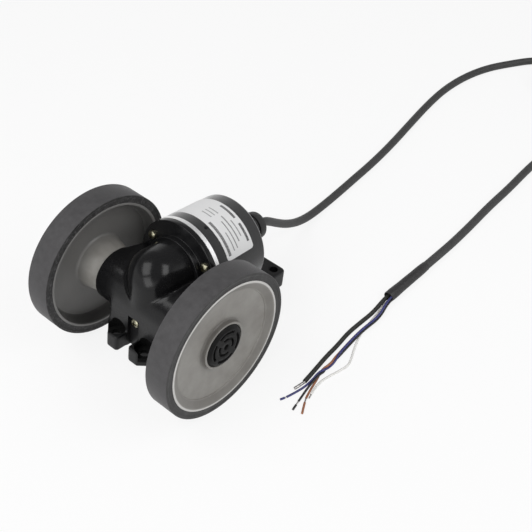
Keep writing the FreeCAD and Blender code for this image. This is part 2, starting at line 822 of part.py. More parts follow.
def coil_ring():
    """Outer shape of the turns of the coil."""
    x, y = coil_centre
    low = coil_lift
    high = coil_lift + coil_height
    near = coil_radius - coil_half_section
    far = coil_radius + coil_half_section
    corner = cable_radius
    cut = corner * (1 - math.sqrt(0.5))

    def section(out, up):
        return V(x + out, y, up)

    face = closed_face(
        section, (near + corner, low), (far - corner, low), ((far - cut, low + cut), (far, low + corner)),
        (far, high - corner), ((far - cut, high - cut), (far - corner, high)), (near + corner, high),
        ((near + cut, high - cut), (near, high - corner)), (near, low + corner),
        ((near + cut, low + cut), (near + corner, low)))
    return face.revolve(V(x, y, 0), Z_AXIS, 360)


def cable_coil():
    """The tied coil, with a straight lead where the cable arrives and where it leaves."""
    body = coil_ring()
    for (touch, way), side in ((coil_arrival(), -1), (coil_departure(), 1)):
        body = body.fuse(Part.makeCylinder(cable_radius, coil_lead, touch, way * side))
    return body.removeSplitter()


def coil_tie():
    """Flat band round the turns."""
    x, y = coil_centre
    reach = 2 * (coil_half_section + tie_thickness)
    height = coil_height + 2 * tie_thickness
    band = Part.makeBox(reach, tie_width, height, V(x + coil_radius - reach / 2, y - tie_width / 2,
                                                    coil_lift - tie_thickness))
    band = band.makeFillet(cable_radius, [e for e in band.Edges if e.BoundBox.YLength > tie_width - 0.01])
    band.rotate(V(x, y, 0), Z_AXIS, tie_angle)
    return band.cut(coil_ring())


def sleeve_direction():
    ahead = V(*sleeve_end, 0) - V(*sleeve_start, 0)
    return ahead.normalize()


def cable_sleeve():
    start = V(*sleeve_start, sleeve_radius)
    length = (V(*sleeve_end, sleeve_radius) - start).Length
    return Part.makeCylinder(sleeve_radius, length, start, sleeve_direction())


def wire_start(across, up):
    """Place on the end face of the sleeve, and a point straight ahead of it."""
    ahead = sleeve_direction()
    side = V(-ahead.y, ahead.x, 0)
    place = V(*sleeve_end, sleeve_radius + up) + side * across
    return [tuple(place), tuple(place + ahead * wire_lead)]


def wires():
    floor = wire_radius + ground_gap
    shield_floor = shield_radius + ground_gap
    routes = {
        "wire_shield": (shield_radius, wire_start(-1.4, -0.4) + [
            (67.8, 72.5, shield_floor), (68.1, 62.0, shield_floor), (67.8, 52.0, shield_floor),
            (68.2, 42.0, shield_floor), (68.5, 32.0, shield_floor), (69.0, 22.5, shield_floor),
            (69.2, 14.0, shield_floor)]),
        "wire_blue": (wire_radius, wire_start(0.25, -2.1) + [
            (70.1, 75.0, floor), (70.5, 63.0, floor), (70.1, 51.0, floor), (70.6, 38.0, floor),
            (70.9, 26.0, floor), (71.3, 15.0, floor), (70.2, 5.0, floor), (67.9, -4.0, floor)]),
        "wire_black": (wire_radius, wire_start(1.6, -1.6) + [
            (71.7, 75.0, floor), (71.9, 62.0, floor), (71.6, 51.0, floor), (72.0, 38.0, floor),
            (72.4, 26.0, floor), (73.4, 14.0, floor), (75.2, 4.0, floor), (76.9, -4.5, floor)]),
        "wire_brown": (wire_radius, wire_start(2.2, -0.3) + [
            (73.6, 73.0, floor), (73.4, 61.0, floor), (73.0, 50.0, floor), (73.4, 38.0, floor),
            (74.0, 26.0, floor), (75.5, 15.0, floor), (78.2, 5.0, floor), (82.0, -3.6, floor)]),
        "wire_white": (wire_radius, wire_start(1.7, 1.4) + [
            (76.2, 71.0, floor), (75.4, 60.0, floor), (76.2, 49.5, floor), (79.6, 39.5, floor),
            (80.6, 30.0, floor), (78.9, 20.5, floor), (78.4, 11.0, floor)]),
    }
    return {name: cord(points, radius, name) for name, (radius, points) in routes.items()}


def standing_nodes():
    """Every piece that is modelled about the axle, by node name."""
    axle_outer, axle_inner, axle_balls = axle_bearing()
    front_outer, front_inner, front_balls = shaft_bearing(spigot_front)
    rear_outer, rear_inner, rear_balls = shaft_bearing(base_hub_end - shaft_bearing_width)
    disc = wheel_disc()
    cap = hub_cap()
    right_tyre = tyre()
    balls = [Part.makeCompound(axle_balls), mirrored(Part.makeCompound(axle_balls))]
    nodes = {
        "tyre_right": right_tyre,
        "tyre_left": mirrored(right_tyre),
        "wheel_disc_right": disc,
        "wheel_disc_left": mirrored(disc),
        "hub_cap_right": cap,
        "hub_cap_left": mirrored(cap),
        "axle": axle(),
        "axle_end_screws": pair(end_screw()),
        "axle_washers": pair(ring(turned_on_axle, pocket_floor, pocket_floor + washer_thickness,
                                  end_screw_radius, washer_radius)),
        "hub_spacers": pair(ring(turned_on_axle, bearing_outer_end, hub_inner_end, axle_radius, spacer_radius)),
        "gear_sleeves": pair(ring(turned_on_axle, gear_width / 2, bearing_inner_end, axle_radius,
                                  gear_sleeve_radius)),
        "axle_bearing_outer_rings": pair(axle_outer),
        "axle_bearing_inner_rings": pair(axle_inner),
        "axle_bearing_balls": Part.makeCompound(balls),
        "axle_seals": pair(ring(turned_on_axle, bearing_outer_end, tube_half_length,
                                spacer_radius + running_clearance, axle_bearing_radius)),
        "drive_gear": drive_gear(),
        "driven_gear": driven_gear(),
        "gear_housing": gear_housing(),
        "flange_screws": flange_screws(),
        "encoder_base": encoder_base(),
        "encoder_shaft": encoder_shaft(),
        "shaft_spacer": ring(turned_on_shaft, gear_width / 2, spigot_front, shaft_radius, shaft_spacer_radius),
        "shaft_bearing_outer_rings": Part.makeCompound([front_outer, rear_outer]),
        "shaft_bearing_inner_rings": Part.makeCompound([front_inner, rear_inner]),
        "shaft_bearing_balls": Part.makeCompound(front_balls + rear_balls),
        "disc_hub": ring(turned_on_shaft, base_hub_end, disc_front, shaft_radius, disc_hub_radius),
        "code_disc": code_disc(),
        "light_source": optics_block(base_back, disc_front - optics_gap),
        "slit_mask": optics_block(mask_front, sensor_front),
        "light_sensor": optics_block(sensor_front, board_front),
        "circuit_board": circuit_board(),
        "board_posts": board_posts(),
        "board_screws": board_screws(),
        "encoder_cover": encoder_cover(),
        "cover_screws": Part.makeCompound(cover_screw_set(cover_screw_hole())),
        "label": label(),
        "cable_boot": cable_boot(),
    }
    stand = standing()
    for piece in nodes.values():
        piece.Placement = stand.multiply(piece.Placement)
    return nodes


def lying_nodes():
    """The cable, its coil and the stripped end, laid on the ground."""
    nodes = {
        "cable_out": cord(cable_out_points(), cable_radius, "cable_out"),
        "cable_coil": cable_coil(),
        "coil_tie": coil_tie(),
        "cable_back": cord(cable_back_points(), cable_radius, "cable_back"),
        "cable_sleeve": cable_sleeve(),
    }
    nodes.update(wires())
    return nodes


os.makedirs("parts", exist_ok=True)
for node, piece in {**standing_nodes(), **lying_nodes()}.items():
    piece.exportStep(f"parts/{node}.step")
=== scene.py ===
# %% [markdown]
# # A measuring wheel encoder
# Two rubber-tyred wheels share one axle. Gears in a black casting carry their turning to an encoder, which
# sends counts down a cable. The frame that is loaded here already holds every piece at its real size and
# place, in metres. The lesson dresses it: it models what shows with Blender's own tools, and gives each
# surface a finish.

# %% Load the frame
import json
import math
from contextlib import contextmanager

import bmesh
import bpy
from mathutils import Matrix, Quaternion, Vector


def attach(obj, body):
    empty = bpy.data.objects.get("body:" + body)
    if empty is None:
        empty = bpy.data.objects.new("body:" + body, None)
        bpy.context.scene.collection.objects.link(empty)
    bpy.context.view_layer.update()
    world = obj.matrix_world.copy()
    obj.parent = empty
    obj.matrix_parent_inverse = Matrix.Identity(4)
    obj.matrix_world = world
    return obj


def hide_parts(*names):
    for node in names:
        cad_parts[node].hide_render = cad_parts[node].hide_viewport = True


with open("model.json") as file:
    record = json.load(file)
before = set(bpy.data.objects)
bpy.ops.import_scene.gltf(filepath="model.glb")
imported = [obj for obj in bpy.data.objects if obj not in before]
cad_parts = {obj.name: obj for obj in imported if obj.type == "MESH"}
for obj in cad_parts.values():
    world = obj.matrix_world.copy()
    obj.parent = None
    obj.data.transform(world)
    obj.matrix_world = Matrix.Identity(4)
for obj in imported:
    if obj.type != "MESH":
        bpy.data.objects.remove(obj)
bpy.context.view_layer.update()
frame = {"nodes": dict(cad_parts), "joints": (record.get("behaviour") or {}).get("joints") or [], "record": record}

nodes = frame["nodes"]
joints = {joint["name"]: joint for joint in frame["joints"]}
MM = 0.001

# %% [markdown]
# ## The camera
# The photograph looks down on the wheels from the right. A camera made with `camera_add` stands at the place
# and angle that bring the tyres, the foot and the cable onto their places in the picture. A long lens keeps
# the wheels from looking stretched.

# %% Camera
CAMERA_PLACE = (0.265025, -0.229129, 0.399724)
CAMERA_TURN = (44.5415, 0.8398, 41.3777)
LENS = 66.9876
bpy.ops.object.select_all(action="DESELECT")
bpy.ops.object.camera_add(location=CAMERA_PLACE, rotation=[math.radians(angle) for angle in CAMERA_TURN])
camera = bpy.context.object
camera.name = "photo_camera"
camera.data.lens = LENS
camera.data.sensor_width = 36.0
camera.data.clip_end = 10.0
bpy.context.scene.camera = camera
print("camera lens", camera.data.lens)

# %% [markdown]
# ## The cable and its loose ends
# A cord is one line with a round section. A NURBS curve pulls gently towards its points without passing
# through them, so a handful of points laid along the route gives the easy bends of a soft cable. The order
# and the end-point option are set after the points exist, because a spline of one point can't take them.

# %% Curve helpers
def grounded(route, height):
    """A route in which every point without a height gets the one given."""
    return [(*point, height)[:3] for point in route]


def lay_cord(name, route, radius, ring=6):
    """A round cord along points given in millimetres."""
    curve = bpy.data.curves.new(name, "CURVE")
    curve.dimensions = "3D"
    curve.resolution_u = 6
    curve.bevel_depth = 1.0
    curve.bevel_resolution = ring
    curve.use_fill_caps = True
    spline = curve.splines.new("NURBS")
    spline.points.add(len(route) - 1)
    for point, (x, y, z) in zip(spline.points, route):
        point.co = (x * MM, y * MM, z * MM, 1.0)
        point.radius = radius * MM
    spline.order_u = 3
    spline.use_endpoint_u = True
    piece = bpy.data.objects.new(name, curve)
    bpy.context.scene.collection.objects.link(piece)
    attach(piece, "housing")
    return piece


# %% [markdown]
# The cable leaves the boot, falls to the ground and runs out of the picture. The length that the picture
# doesn't show is wound into a neat coil out there: four layers, each a little more than two turns, the cable
# lying beside and on itself a diameter apart. Then it comes back to its stripped end. The turns are worked
# out by a loop, as more points of the same spline.

# %% Cable route
CABLE_RADIUS = 2.4
CABLE_FLOOR = 2.45
SLEEVE_RADIUS = 2.95
BOOT_TIP = (0.0, 55.9, 36.3)
route_out = grounded([
    BOOT_TIP, (0.0, 60.4, 34.7), (-0.6, 64.6, 32.5), (-1.7, 74.8, 22.9), (-2.6, 83.8, 15.2),
    (-3.6, 94.2, 8.6), (-4.6, 105.5, 4.3), (-5.4, 118.0), (-5.6, 134.0), (-6.3, 152.0), (-6.9, 171.0),
    (-8.8, 193.0), (-12.2, 218.0), (-15.4, 242.0), (-17.0, 265.0), (-14.6, 287.0), (-8.4, 306.0),
    (1.4, 321.6)], CABLE_FLOOR)
route_back = grounded([
    (73.4, 262.5), (70.4, 246.0), (69.8, 228.0), (70.6, 206.0), (70.3, 184.0), (71.1, 163.0), (71.3, 145.0),
    (71.1, 131.5, SLEEVE_RADIUS), (70.5, 118.5, SLEEVE_RADIUS), (69.9, 104.0, SLEEVE_RADIUS)], CABLE_FLOOR)

COIL_CENTRE = (64.0, 327.0)
COIL_LOW = 3.0
COIL_PITCH = 5.0
COIL_LAYERS = 4
TURNS_A_LAYER = 2
COIL_INNER = 22.3
COIL_OUTER = 32.6
CLIMB_FROM = 0.8
POINTS_A_TURN = 14
ARRIVE_ANGLE = 120.0
LEAVE_ANGLE = -20.0
ARRIVE_LEADS = ((-42.0, COIL_LOW), (-28.0, COIL_LOW), (-12.0, COIL_LOW))
LEAVE_LEADS = ((12.0, 15.0), (28.0, 8.6), (42.0, 4.0))


def coil_point(angle, radius, height, lead=0.0):
    """A point on a turn of the coil, or on the straight lead that meets it there."""
    turn = math.radians(angle)
    return (COIL_CENTRE[0] + radius * math.cos(turn) + lead * math.sin(turn),
            COIL_CENTRE[1] + radius * math.sin(turn) - lead * math.cos(turn), height)


def coil_turns():
    """Clockwise turns: the layers wind inwards and outwards by turns, each one higher."""
    whole = 360.0 * COIL_LAYERS * TURNS_A_LAYER + ARRIVE_ANGLE - LEAVE_ANGLE
    steps = round(whole / 360.0 * POINTS_A_TURN)
    layer_steps = steps / COIL_LAYERS
    points = []
    for i in range(steps + 1):
        layer = min(int(i / layer_steps), COIL_LAYERS - 1)
        share = i / layer_steps - layer
        inward = share if layer % 2 == 0 else 1.0 - share
        radius = COIL_OUTER - (COIL_OUTER - COIL_INNER) * inward
        climb = max(0.0, (share - CLIMB_FROM) / (1.0 - CLIMB_FROM)) if layer < COIL_LAYERS - 1 else 0.0
        height = COIL_LOW + COIL_PITCH * (layer + climb)
        points.append(coil_point(ARRIVE_ANGLE - whole * i / steps, radius, height))
    return points


def coil_leads(angle, leads):
    return [coil_point(angle, COIL_OUTER, height, lead) for lead, height in leads]


cable_route = (route_out + coil_leads(ARRIVE_ANGLE, ARRIVE_LEADS) + coil_turns()
               + coil_leads(LEAVE_ANGLE, LEAVE_LEADS) + route_back)
cable = lay_cord("cable", cable_route, CABLE_RADIUS)
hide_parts("cable_out", "cable_coil", "cable_back")
print("cable points:", len(cable_route))

# %% [markdown]
# At the stripped end a black sleeve covers the cut jacket. The shield comes out of it under a thin black
# tube, and beside it the four thin wires. Three of them were combed together by hand, and lie round each
# other as a bundle, with a half turn in it. The white one slips out underneath. The insulation is cut near
# the ends, and a short slug of it is left on the tinned strands, to keep them together.

# %% Wires
WIRE_RADIUS = 0.6
SHIELD_RADIUS = 1.2
WIRE_FLOOR = 0.65
SHIELD_FLOOR = 1.25
TIP_SHARE = 0.66
BUNDLE_GAP = 0.73
BUNDLE = (
    (73.5, 70.9, 2.6, 0.0), (72.2, 58.5, 2.6, 0.0), (72.2, 48.0, 1.9, 0.0), (72.8, 37.5, 1.5, 0.0),
    (73.3, 34.0, 1.42, 60.0), (73.5, 30.5, 1.42, 120.0), (73.4, 27.5, 1.42, 120.0), (73.3, 25.4, 1.42, 60.0),
    (73.2, 23.3, 1.42, 0.0), (73.1, 21.2, 1.42, -60.0))


def strand(first):
    """The way of one wire of the bundle, which starts at an angle from the top."""
    way = []
    for x, y, z, turn in BUNDLE:
        angle = math.radians(first + turn)
        way.append((x + BUNDLE_GAP * math.sin(angle), y, z + BUNDLE_GAP * math.cos(angle)))
    return way


wire_routes = {
    "wire_shield": ([
        (67.9, 87.6, 2.55), (67.9, 82.6, 2.55), (68.5, 72.5), (67.7, 62.0), (67.2, 52.0), (68.3, 42.0),
        (68.6, 32.0), (69.6, 22.5), (70.3, 15.0), (70.5, 12.4)],
        [(70.5, 12.6, 1.0), (70.0, 9.0, 0.9), (69.2, 6.0, 0.8)]),
    "wire_blue": ([(70.8, 87.4, 4.35), (70.6, 82.2, 4.35)] + strand(0.0) + [
        (72.6, 15.5, 0.8), (72.4, 10.0), (70.8, 3.2), (69.6, -0.6)],
        [(69.7, -0.4), (69.3, -1.4), (68.8, -2.6)]),
    "wire_black": ([(71.3, 87.4, 2.65), (71.1, 82.4, 2.65)] + strand(120.0) + [
        (73.7, 17.5, 1.9), (74.0, 10.5, 0.7), (75.3, 4.0), (75.8, 1.4)],
        [(75.75, 1.6), (76.1, 0.0), (76.5, -2.0)]),
    "wire_brown": ([(70.7, 87.4, 1.35), (70.5, 82.4, 1.35)] + strand(240.0) + [
        (74.2, 17.5), (75.7, 11.0), (76.9, 7.0), (77.5, 5.2)],
        [(77.4, 5.4), (78.3, 3.4), (79.4, 1.4)]),
    "wire_white": ([
        (69.35, 87.5, 0.85), (69.1, 82.5, 0.85), (70.3, 74.0), (71.2, 66.0), (72.0, 58.0), (74.9, 48.5),
        (79.0, 40.0), (80.6, 35.4), (79.4, 30.0), (77.6, 24.0), (76.3, 18.0), (76.9, 12.0), (77.9, 8.6)],
        [(77.85, 8.8), (78.2, 7.6, 0.55), (78.6, 6.2, 0.5)]),
}
slug_routes = {
    "wire_blue": [(69.2, -1.5), (68.75, -2.6), (68.2, -3.8)],
    "wire_black": [(76.35, -1.2), (76.6, -2.6), (77.0, -4.4)],
    "wire_brown": [(78.7, 2.7), (80.2, -0.1), (82.0, -3.3)],
}
wires, wire_ways, wire_tips, slugs = {}, {}, {}, {}
for name, (route, tip) in wire_routes.items():
    radius, floor = (SHIELD_RADIUS, SHIELD_FLOOR) if name == "wire_shield" else (WIRE_RADIUS, WIRE_FLOOR)
    way = grounded(route, floor)
    wire_ways[name] = (radius, way)
    wires[name] = lay_cord(name + "_lead", way, radius, ring=4)
    wire_tips[name] = lay_cord(name + "_tip", grounded(tip, floor), radius * TIP_SHARE, ring=4)
    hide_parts(name)
    slugs[name] = []
for name, route in slug_routes.items():
    slugs[name] = [lay_cord(name + "_slug", grounded(route, WIRE_FLOOR), WIRE_RADIUS, ring=4)]
print("wires:", sorted(wires))

# %% [markdown]
# ## A bench to work on
# The real part leans back until its tail rests on the ground, which would make every measurement slanting.
# So the pieces are modelled on a level bench, with the axle along X through the origin and the encoder
# pointing back along Y, in millimetres. The last step of each piece turns it to the way the part stands.
# The joints of the frame say where the axle is and how far the encoder leans, so nothing is measured twice.

# %% Bench helpers
axle_at = Vector(joints["wheel_spin"]["pos_m"])
back = Vector(joints["encoder_spin"]["axis"])
tilt = math.atan2(-back.z, back.y)
STANCE = Matrix.Translation(axle_at) @ Matrix.Rotation(-tilt, 4, "X")
to_bench = STANCE.inverted()
AXIS_RISE = (to_bench @ Vector(joints["encoder_spin"]["pos_m"])).z / MM


def span(node):
    """Lowest and highest place of a CAD node on the bench along X, Y and Z, in millimetres."""
    places = [to_bench @ vertex.co / MM for vertex in nodes[node].data.vertices]
    return [(min(place[k] for place in places), max(place[k] for place in places)) for k in range(3)]


def on_axle(along, out):
    return Vector((along, 0.0, out)) * MM


def on_shaft(along, out):
    return Vector((0.0, along, AXIS_RISE + out)) * MM


def on_line(along, out):
    return Vector((0.0, along, out)) * MM


def upright(along, out):
    return Vector((out, 0.0, along)) * MM


ORIGIN = (0.0, 0.0, 0.0)
AXES = {on_axle: (ORIGIN, (1.0, 0.0, 0.0)), on_shaft: ((0.0, 0.0, AXIS_RISE * MM), (0.0, 1.0, 0.0)),
        on_line: (ORIGIN, (0.0, 1.0, 0.0)), upright: (ORIGIN, (0.0, 0.0, 1.0))}
print(f"lean {math.degrees(tilt):.2f} degrees, encoder {AXIS_RISE:.1f} mm above the axle")

# %% [markdown]
# An operator acts on all that is selected, so a piece is always selected alone first. Most work happens in
# edit mode, so a `with` block enters it with one whole piece selected, and leaves it again.

# %% Edit helpers
def alone(piece):
    """Selects one piece and nothing else."""
    bpy.ops.object.select_all(action="DESELECT")
    piece.select_set(True)
    bpy.context.view_layer.objects.active = piece


@contextmanager
def editing(piece):
    """One piece in edit mode, with all of it selected."""
    alone(piece)
    bpy.ops.object.mode_set(mode="EDIT")
    bpy.ops.mesh.select_all(action="SELECT")
    yield
    bpy.ops.object.mode_set(mode="OBJECT")


def tidy_mesh():
    """Merges doubles and turns the faces outwards, in edit mode."""
    bpy.ops.mesh.select_all(action="SELECT")
    bpy.ops.mesh.remove_doubles(threshold=1e-6)
    bpy.ops.mesh.normals_make_consistent(inside=False)


# %% [markdown]
# A lathe makes most of these pieces, and `spin` is Blender's lathe. A plane merged to a single vertex is the
# start. It is extruded from point to point along half the section, and the section is spun round its axis.
# Spinning leaves a seam of double vertices and may turn the faces inwards, so both are put right at once.

# %% Lathe helper
def turned(name, spot, section, steps=96, angle=360.0):
    """A piece spun from its half section, given as (along, out) in millimetres."""
    points = [spot(*point) for point in section]
    bpy.ops.object.select_all(action="DESELECT")
    bpy.ops.mesh.primitive_plane_add(size=MM)
    piece = bpy.context.object
    piece.name = name
    with editing(piece):
        bpy.ops.mesh.select_mode(type="VERT")
        bpy.ops.mesh.merge(type="CENTER")
        bpy.ops.transform.translate(value=points[0])
        for here, there in zip(points, points[1:]):
            bpy.ops.mesh.extrude_region_move(TRANSFORM_OT_translate={"value": there - here})
        bpy.ops.mesh.select_all(action="SELECT")
        centre, axis = AXES[spot]
        bpy.ops.mesh.spin(steps=steps, angle=math.radians(angle), center=centre, axis=axis)
        tidy_mesh()
    return piece


# %% [markdown]
# A made piece has its sharp edges rounded with a Bevel modifier. Then it is turned from the bench to its
# place, and handed over: which body it rides on, and which CAD nodes it stands for. The wheels' pieces come
# in pairs, so the right one is copied and mirrored. A mirrored mesh is inside out, and its faces are turned
# outwards again.

# %% Piece helpers
def apply_modifier(piece, kind, **values):
    """Adds a modifier, sets it and applies it."""
    alone(piece)
    modifier = piece.modifiers.new(kind.lower(), kind)
    for key, value in values.items():
        setattr(modifier, key, value)
    bpy.ops.object.modifier_apply(modifier=modifier.name)


def soften(piece, width, limit=30.0, segments=3):
    """Rounds every edge sharper than a limit."""
    apply_modifier(piece, "BEVEL", width=width * MM, segments=segments, limit_method="ANGLE",
                   angle_limit=math.radians(limit))
    with editing(piece):
        bpy.ops.mesh.remove_doubles(threshold=1e-6)


def seat(piece, body, slot, *stands_for, smooth=35.0, place=STANCE):
    """Turns a piece from the bench to its place, and hands it over to the frame."""
    alone(piece)
    piece.matrix_world = place
    bpy.ops.object.transform_apply(location=True, rotation=True, scale=True)
    bpy.ops.object.shade_smooth_by_angle(angle=math.radians(smooth))
    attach(piece, body)
    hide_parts(*stands_for)
    print(piece.name, "faces:", len(piece.data.polygons))


def pair(right, slot):
    """Seats a right-hand wheel piece, and its mirror image, which gets its own mesh."""
    alone(right)
    bpy.ops.object.duplicate()
    left = bpy.context.object
    left.name = right.name.replace("right", "left")
    with editing(left):
        bpy.ops.transform.resize(value=(-1.0, 1.0, 1.0), center_override=ORIGIN)
        tidy_mesh()
    seat(right, "wheel_set", slot, slot + "_right")
    seat(left, "wheel_set", slot, slot + "_left")
    return right, left


# %% [markdown]
# ## The wheels
# A tyre is a band of rubber moulded round the rim, with a flat ground tread and a slightly sunk side wall.
# Its section is a handful of points, spun round the axle. The left one is the mirror image of the right.

# %% Tyres
(wheel_in, wheel_out), _, (_, wheel_radius) = span("tyre_right")
rim_radius = span("wheel_disc_right")[2][1]
WHEEL_STEPS = 160
WALL_STEP = 1.5
WALL_SINK = 0.22
BEAD = 0.3
wall_top = wheel_radius - WALL_STEP
bead = rim_radius + BEAD
tyre = turned("tyre_right_rubber", on_axle, [
    (wheel_in, rim_radius), (wheel_in + WALL_SINK, bead), (wheel_in + WALL_SINK, wall_top - WALL_SINK),
    (wheel_in, wall_top), (wheel_in, wheel_radius), (wheel_out, wheel_radius), (wheel_out, wall_top),
    (wheel_out - WALL_SINK, wall_top - WALL_SINK), (wheel_out - WALL_SINK, bead), (wheel_out, rim_radius),
    (wheel_in, rim_radius)], steps=WHEEL_STEPS)
soften(tyre, width=0.45)
tyres = pair(tyre, "tyre")

# %% [markdown]
# The disc is a casting: a rim, a sloped band down to a shallow dish, and a hub. Outside, a round wall
# rises from the dish to hold the cap. Inside, a boss reaches in to the axle tube. The edges are rounded by
# paint, so a narrow bevel goes over all of them.

# %% Discs
def quarter(steps):
    """Sines and cosines at even steps from 0 to 90 degrees, for a rounded corner."""
    turns = [math.pi / 2 * i / steps for i in range(steps + 1)]
    return [(math.sin(turn), math.cos(turn)) for turn in turns]


hub_inner_end = span("wheel_disc_right")[0][0]
cap_seat, cap_face = span("hub_cap_right")[0]
cap_radius = span("hub_cap_right")[2][1]
axle_radius = span("axle")[2][1]
RIM_LIP = 1.1
RIM_WALL = 1.7
RIM_CHAMFER = 0.5
SLOPE_DEPTH = 2.2
SLOPE_WIDTH = 4.2
DISH_STEP = 0.5
WEB = 4.0
CAP_CROWN = 1.6
CAP_SINK = 0.4
HUB_LIP_RADIUS = 13.1
HUB_FILLET = 0.9
HUB_DIP = 1.2
FILLET_STEPS = 6
BOSS_RADIUS = 12.6
BOSS_ROOT = 15.0
BOSS_FILLET = ((-1.2, -0.2), (-0.3, 0.6), (0.0, 2.0))
POCKET_RADIUS = 11.2
WASHER_THICK = 1.0
POCKET_FLOOR = span("axle_washers")[0][1] - WASHER_THICK
dish_floor = wheel_out - SLOPE_DEPTH - DISH_STEP
band_top = rim_radius - RIM_LIP
band_foot = band_top - SLOPE_WIDTH
web_inside = dish_floor - WEB
inside_rim = rim_radius - RIM_WALL
cap_edge = cap_face - CAP_CROWN
hub_face = cap_edge + CAP_SINK
hub_floor = dish_floor - HUB_DIP
hub_curve = [(hub_floor + HUB_FILLET * (1.0 - cosine), HUB_LIP_RADIUS + HUB_FILLET * (1.0 - sine))
             for sine, cosine in quarter(FILLET_STEPS)]
disc = turned("wheel_disc_right_casting", on_axle, [
    (wheel_out, rim_radius), (wheel_out, band_top), (wheel_out - SLOPE_DEPTH, band_foot),
    (dish_floor, band_foot)] + hub_curve + [
    (hub_face, HUB_LIP_RADIUS), (hub_face, cap_radius), (cap_seat, cap_radius), (cap_seat, POCKET_RADIUS),
    (POCKET_FLOOR, POCKET_RADIUS), (POCKET_FLOOR, axle_radius), (hub_inner_end, axle_radius),
    (hub_inner_end, BOSS_RADIUS)] + [(web_inside + along, BOSS_ROOT + out) for along, out in BOSS_FILLET] + [
    (web_inside, inside_rim - RIM_WALL), (wheel_in + RIM_WALL, inside_rim),
    (wheel_in, inside_rim + RIM_CHAMFER), (wheel_in, rim_radius), (wheel_out, rim_radius)], steps=WHEEL_STEPS)
soften(disc, width=0.3, limit=25.0)
discs = pair(disc, "wheel_disc")

# %% [markdown]
# A black cap closes the hub. Its raised face has a round eye and two rings of arc-shaped grooves. It is spun
# with an edge at each groove's border. Then the faces of an arc are picked by how far they lie from the axle
# and in which direction, and extruded inwards.

# %% Hub caps
EYE_RADIUS = 1.5
INNER_GROOVE = (3.95, 5.25)
OUTER_GROOVE = (7.65, 8.95)
GROOVE_DEPTH = 1.0
CROWN_RADIUS = 10.2
CROWN_CURVE = ((0.0, -0.5), (-0.15, -0.1), (-0.5, 0.3))
CAP_PLAY = 0.08
FACE_SECTORS = 72


def pick(piece, kind, wanted):
    """In edit mode, selects the elements of a kind that are wanted, and counts them."""
    bpy.ops.mesh.select_all(action="DESELECT")
    bpy.ops.mesh.select_mode(type=kind)
    grid = bmesh.from_edit_mesh(piece.data)
    elements = {"VERT": grid.verts, "EDGE": grid.edges, "FACE": grid.faces}[kind]
    for element in elements:
        element.select_set(wanted(element))
    bmesh.update_edit_mesh(piece.data)
    return sum(element.select for element in elements)


def groove_arcs(piece, border, arcs, angle, first):
    """Sinks a ring of equal arcs into the face of the cap."""
    def in_arc(face):
        middle = face.calc_center_median() / MM
        turn = math.degrees(math.atan2(middle.z, middle.y))
        away = (turn - first + 180.0 / arcs) % (360.0 / arcs) - 180.0 / arcs
        radius = math.hypot(middle.y, middle.z)
        return face.normal.x > 0.9 and border[0] < radius < border[1] and abs(away) < angle / 2

    pick(piece, "FACE", in_arc)
    bpy.ops.mesh.extrude_region_move(TRANSFORM_OT_translate={"value": (-GROOVE_DEPTH * MM, 0.0, 0.0)})


cap = turned("hub_cap_right_moulding", on_axle, [
    (cap_face - GROOVE_DEPTH, 0.0), (cap_face - GROOVE_DEPTH, EYE_RADIUS)]
    + [(cap_face, radius) for radius in (EYE_RADIUS, *INNER_GROOVE, *OUTER_GROOVE)]
    + [(cap_face + along, CROWN_RADIUS + out) for along, out in CROWN_CURVE]
    + [(cap_edge, cap_radius - CAP_PLAY), (cap_seat, cap_radius - CAP_PLAY), (cap_seat, 0.0)],
    steps=FACE_SECTORS)
with editing(cap):
    groove_arcs(cap, OUTER_GROOVE, 4, 66.0, 0.0)
    groove_arcs(cap, INNER_GROOVE, 2, 140.0, 45.0)
    tidy_mesh()
soften(cap, width=0.14, segments=2)
caps = pair(cap, "hub_cap")

# %% [markdown]
# ## The gear casting
# One sand casting holds the gears: two axle tubes, a dome over the gears, a flange for the encoder, webs
# from the tubes back to the flange, and a long foot. On a casting all of these melt into each other. So each
# form is made as its own rough body, all are joined, and a voxel remesh pours them into one skin. Smoothing
# the skin rounds its edges and fills its corners, as the sand mould does. The bores and holes are cut
# afterwards, because they are machined.

# %% Casting sizes
_, (foot_front, foot_rear), (foot_low, _) = span("gear_housing")
tube_end = span("axle_seals")[0][1]
SPIGOT_DEPTH = 4.6
flange_back = span("encoder_base")[1][0] + SPIGOT_DEPTH
flange_radius = span("encoder_base")[2][1] - AXIS_RISE
TUBE_RADIUS = 14.4
DOME_RISE = 14.5
DOME_STEPS = 24
FLANGE_THICK = 3.0
SHOULDER_RADIUS = 17.5
SHOULDER_REACH = 3.3
WEB_HALF = 24.0
BLOCK_HALF = 17.2
FOOT_HALF = 17.9
FOOT_THICK = 11.0
FRONT_SLOPE = 7.3
LUG_TOP = -16.2
TIP_ROUND = 1.4
TAIL_ROUND = 1.5
SLOT_HALF = 3.8
SLOT_BACK = -12.2
SLOT_TOP = -5.4
VOXEL = 0.5
PAST = 1.0
NEAR = 0.5
flange_front = flange_back - FLANGE_THICK
print(f"tube end {tube_end:.1f}, flange {flange_front:.1f} to {flange_back:.1f} mm")
print(f"foot {foot_front:.1f} to {foot_rear:.1f} mm")

# %% [markdown]
# A box is one cube, added and then scaled to its two corners in edit mode. A rod is a drawn section spun
# round its own axis. Both are closed bodies, which remesh and Boolean need.

# %% Body helpers
def shift(piece, way):
    """Moves the mesh of a piece by millimetres."""
    with editing(piece):
        bpy.ops.transform.translate(value=[step * MM for step in way])


def box(name, low, high):
    """A box between two corners in millimetres."""
    bpy.ops.object.select_all(action="DESELECT")
    bpy.ops.mesh.primitive_cube_add(size=1.0)
    piece = bpy.context.object
    piece.name = name
    with editing(piece):
        bpy.ops.transform.resize(value=[(b - a) * MM for a, b in zip(low, high)])
        bpy.ops.transform.translate(value=[(a + b) / 2 * MM for a, b in zip(low, high)])
    return piece


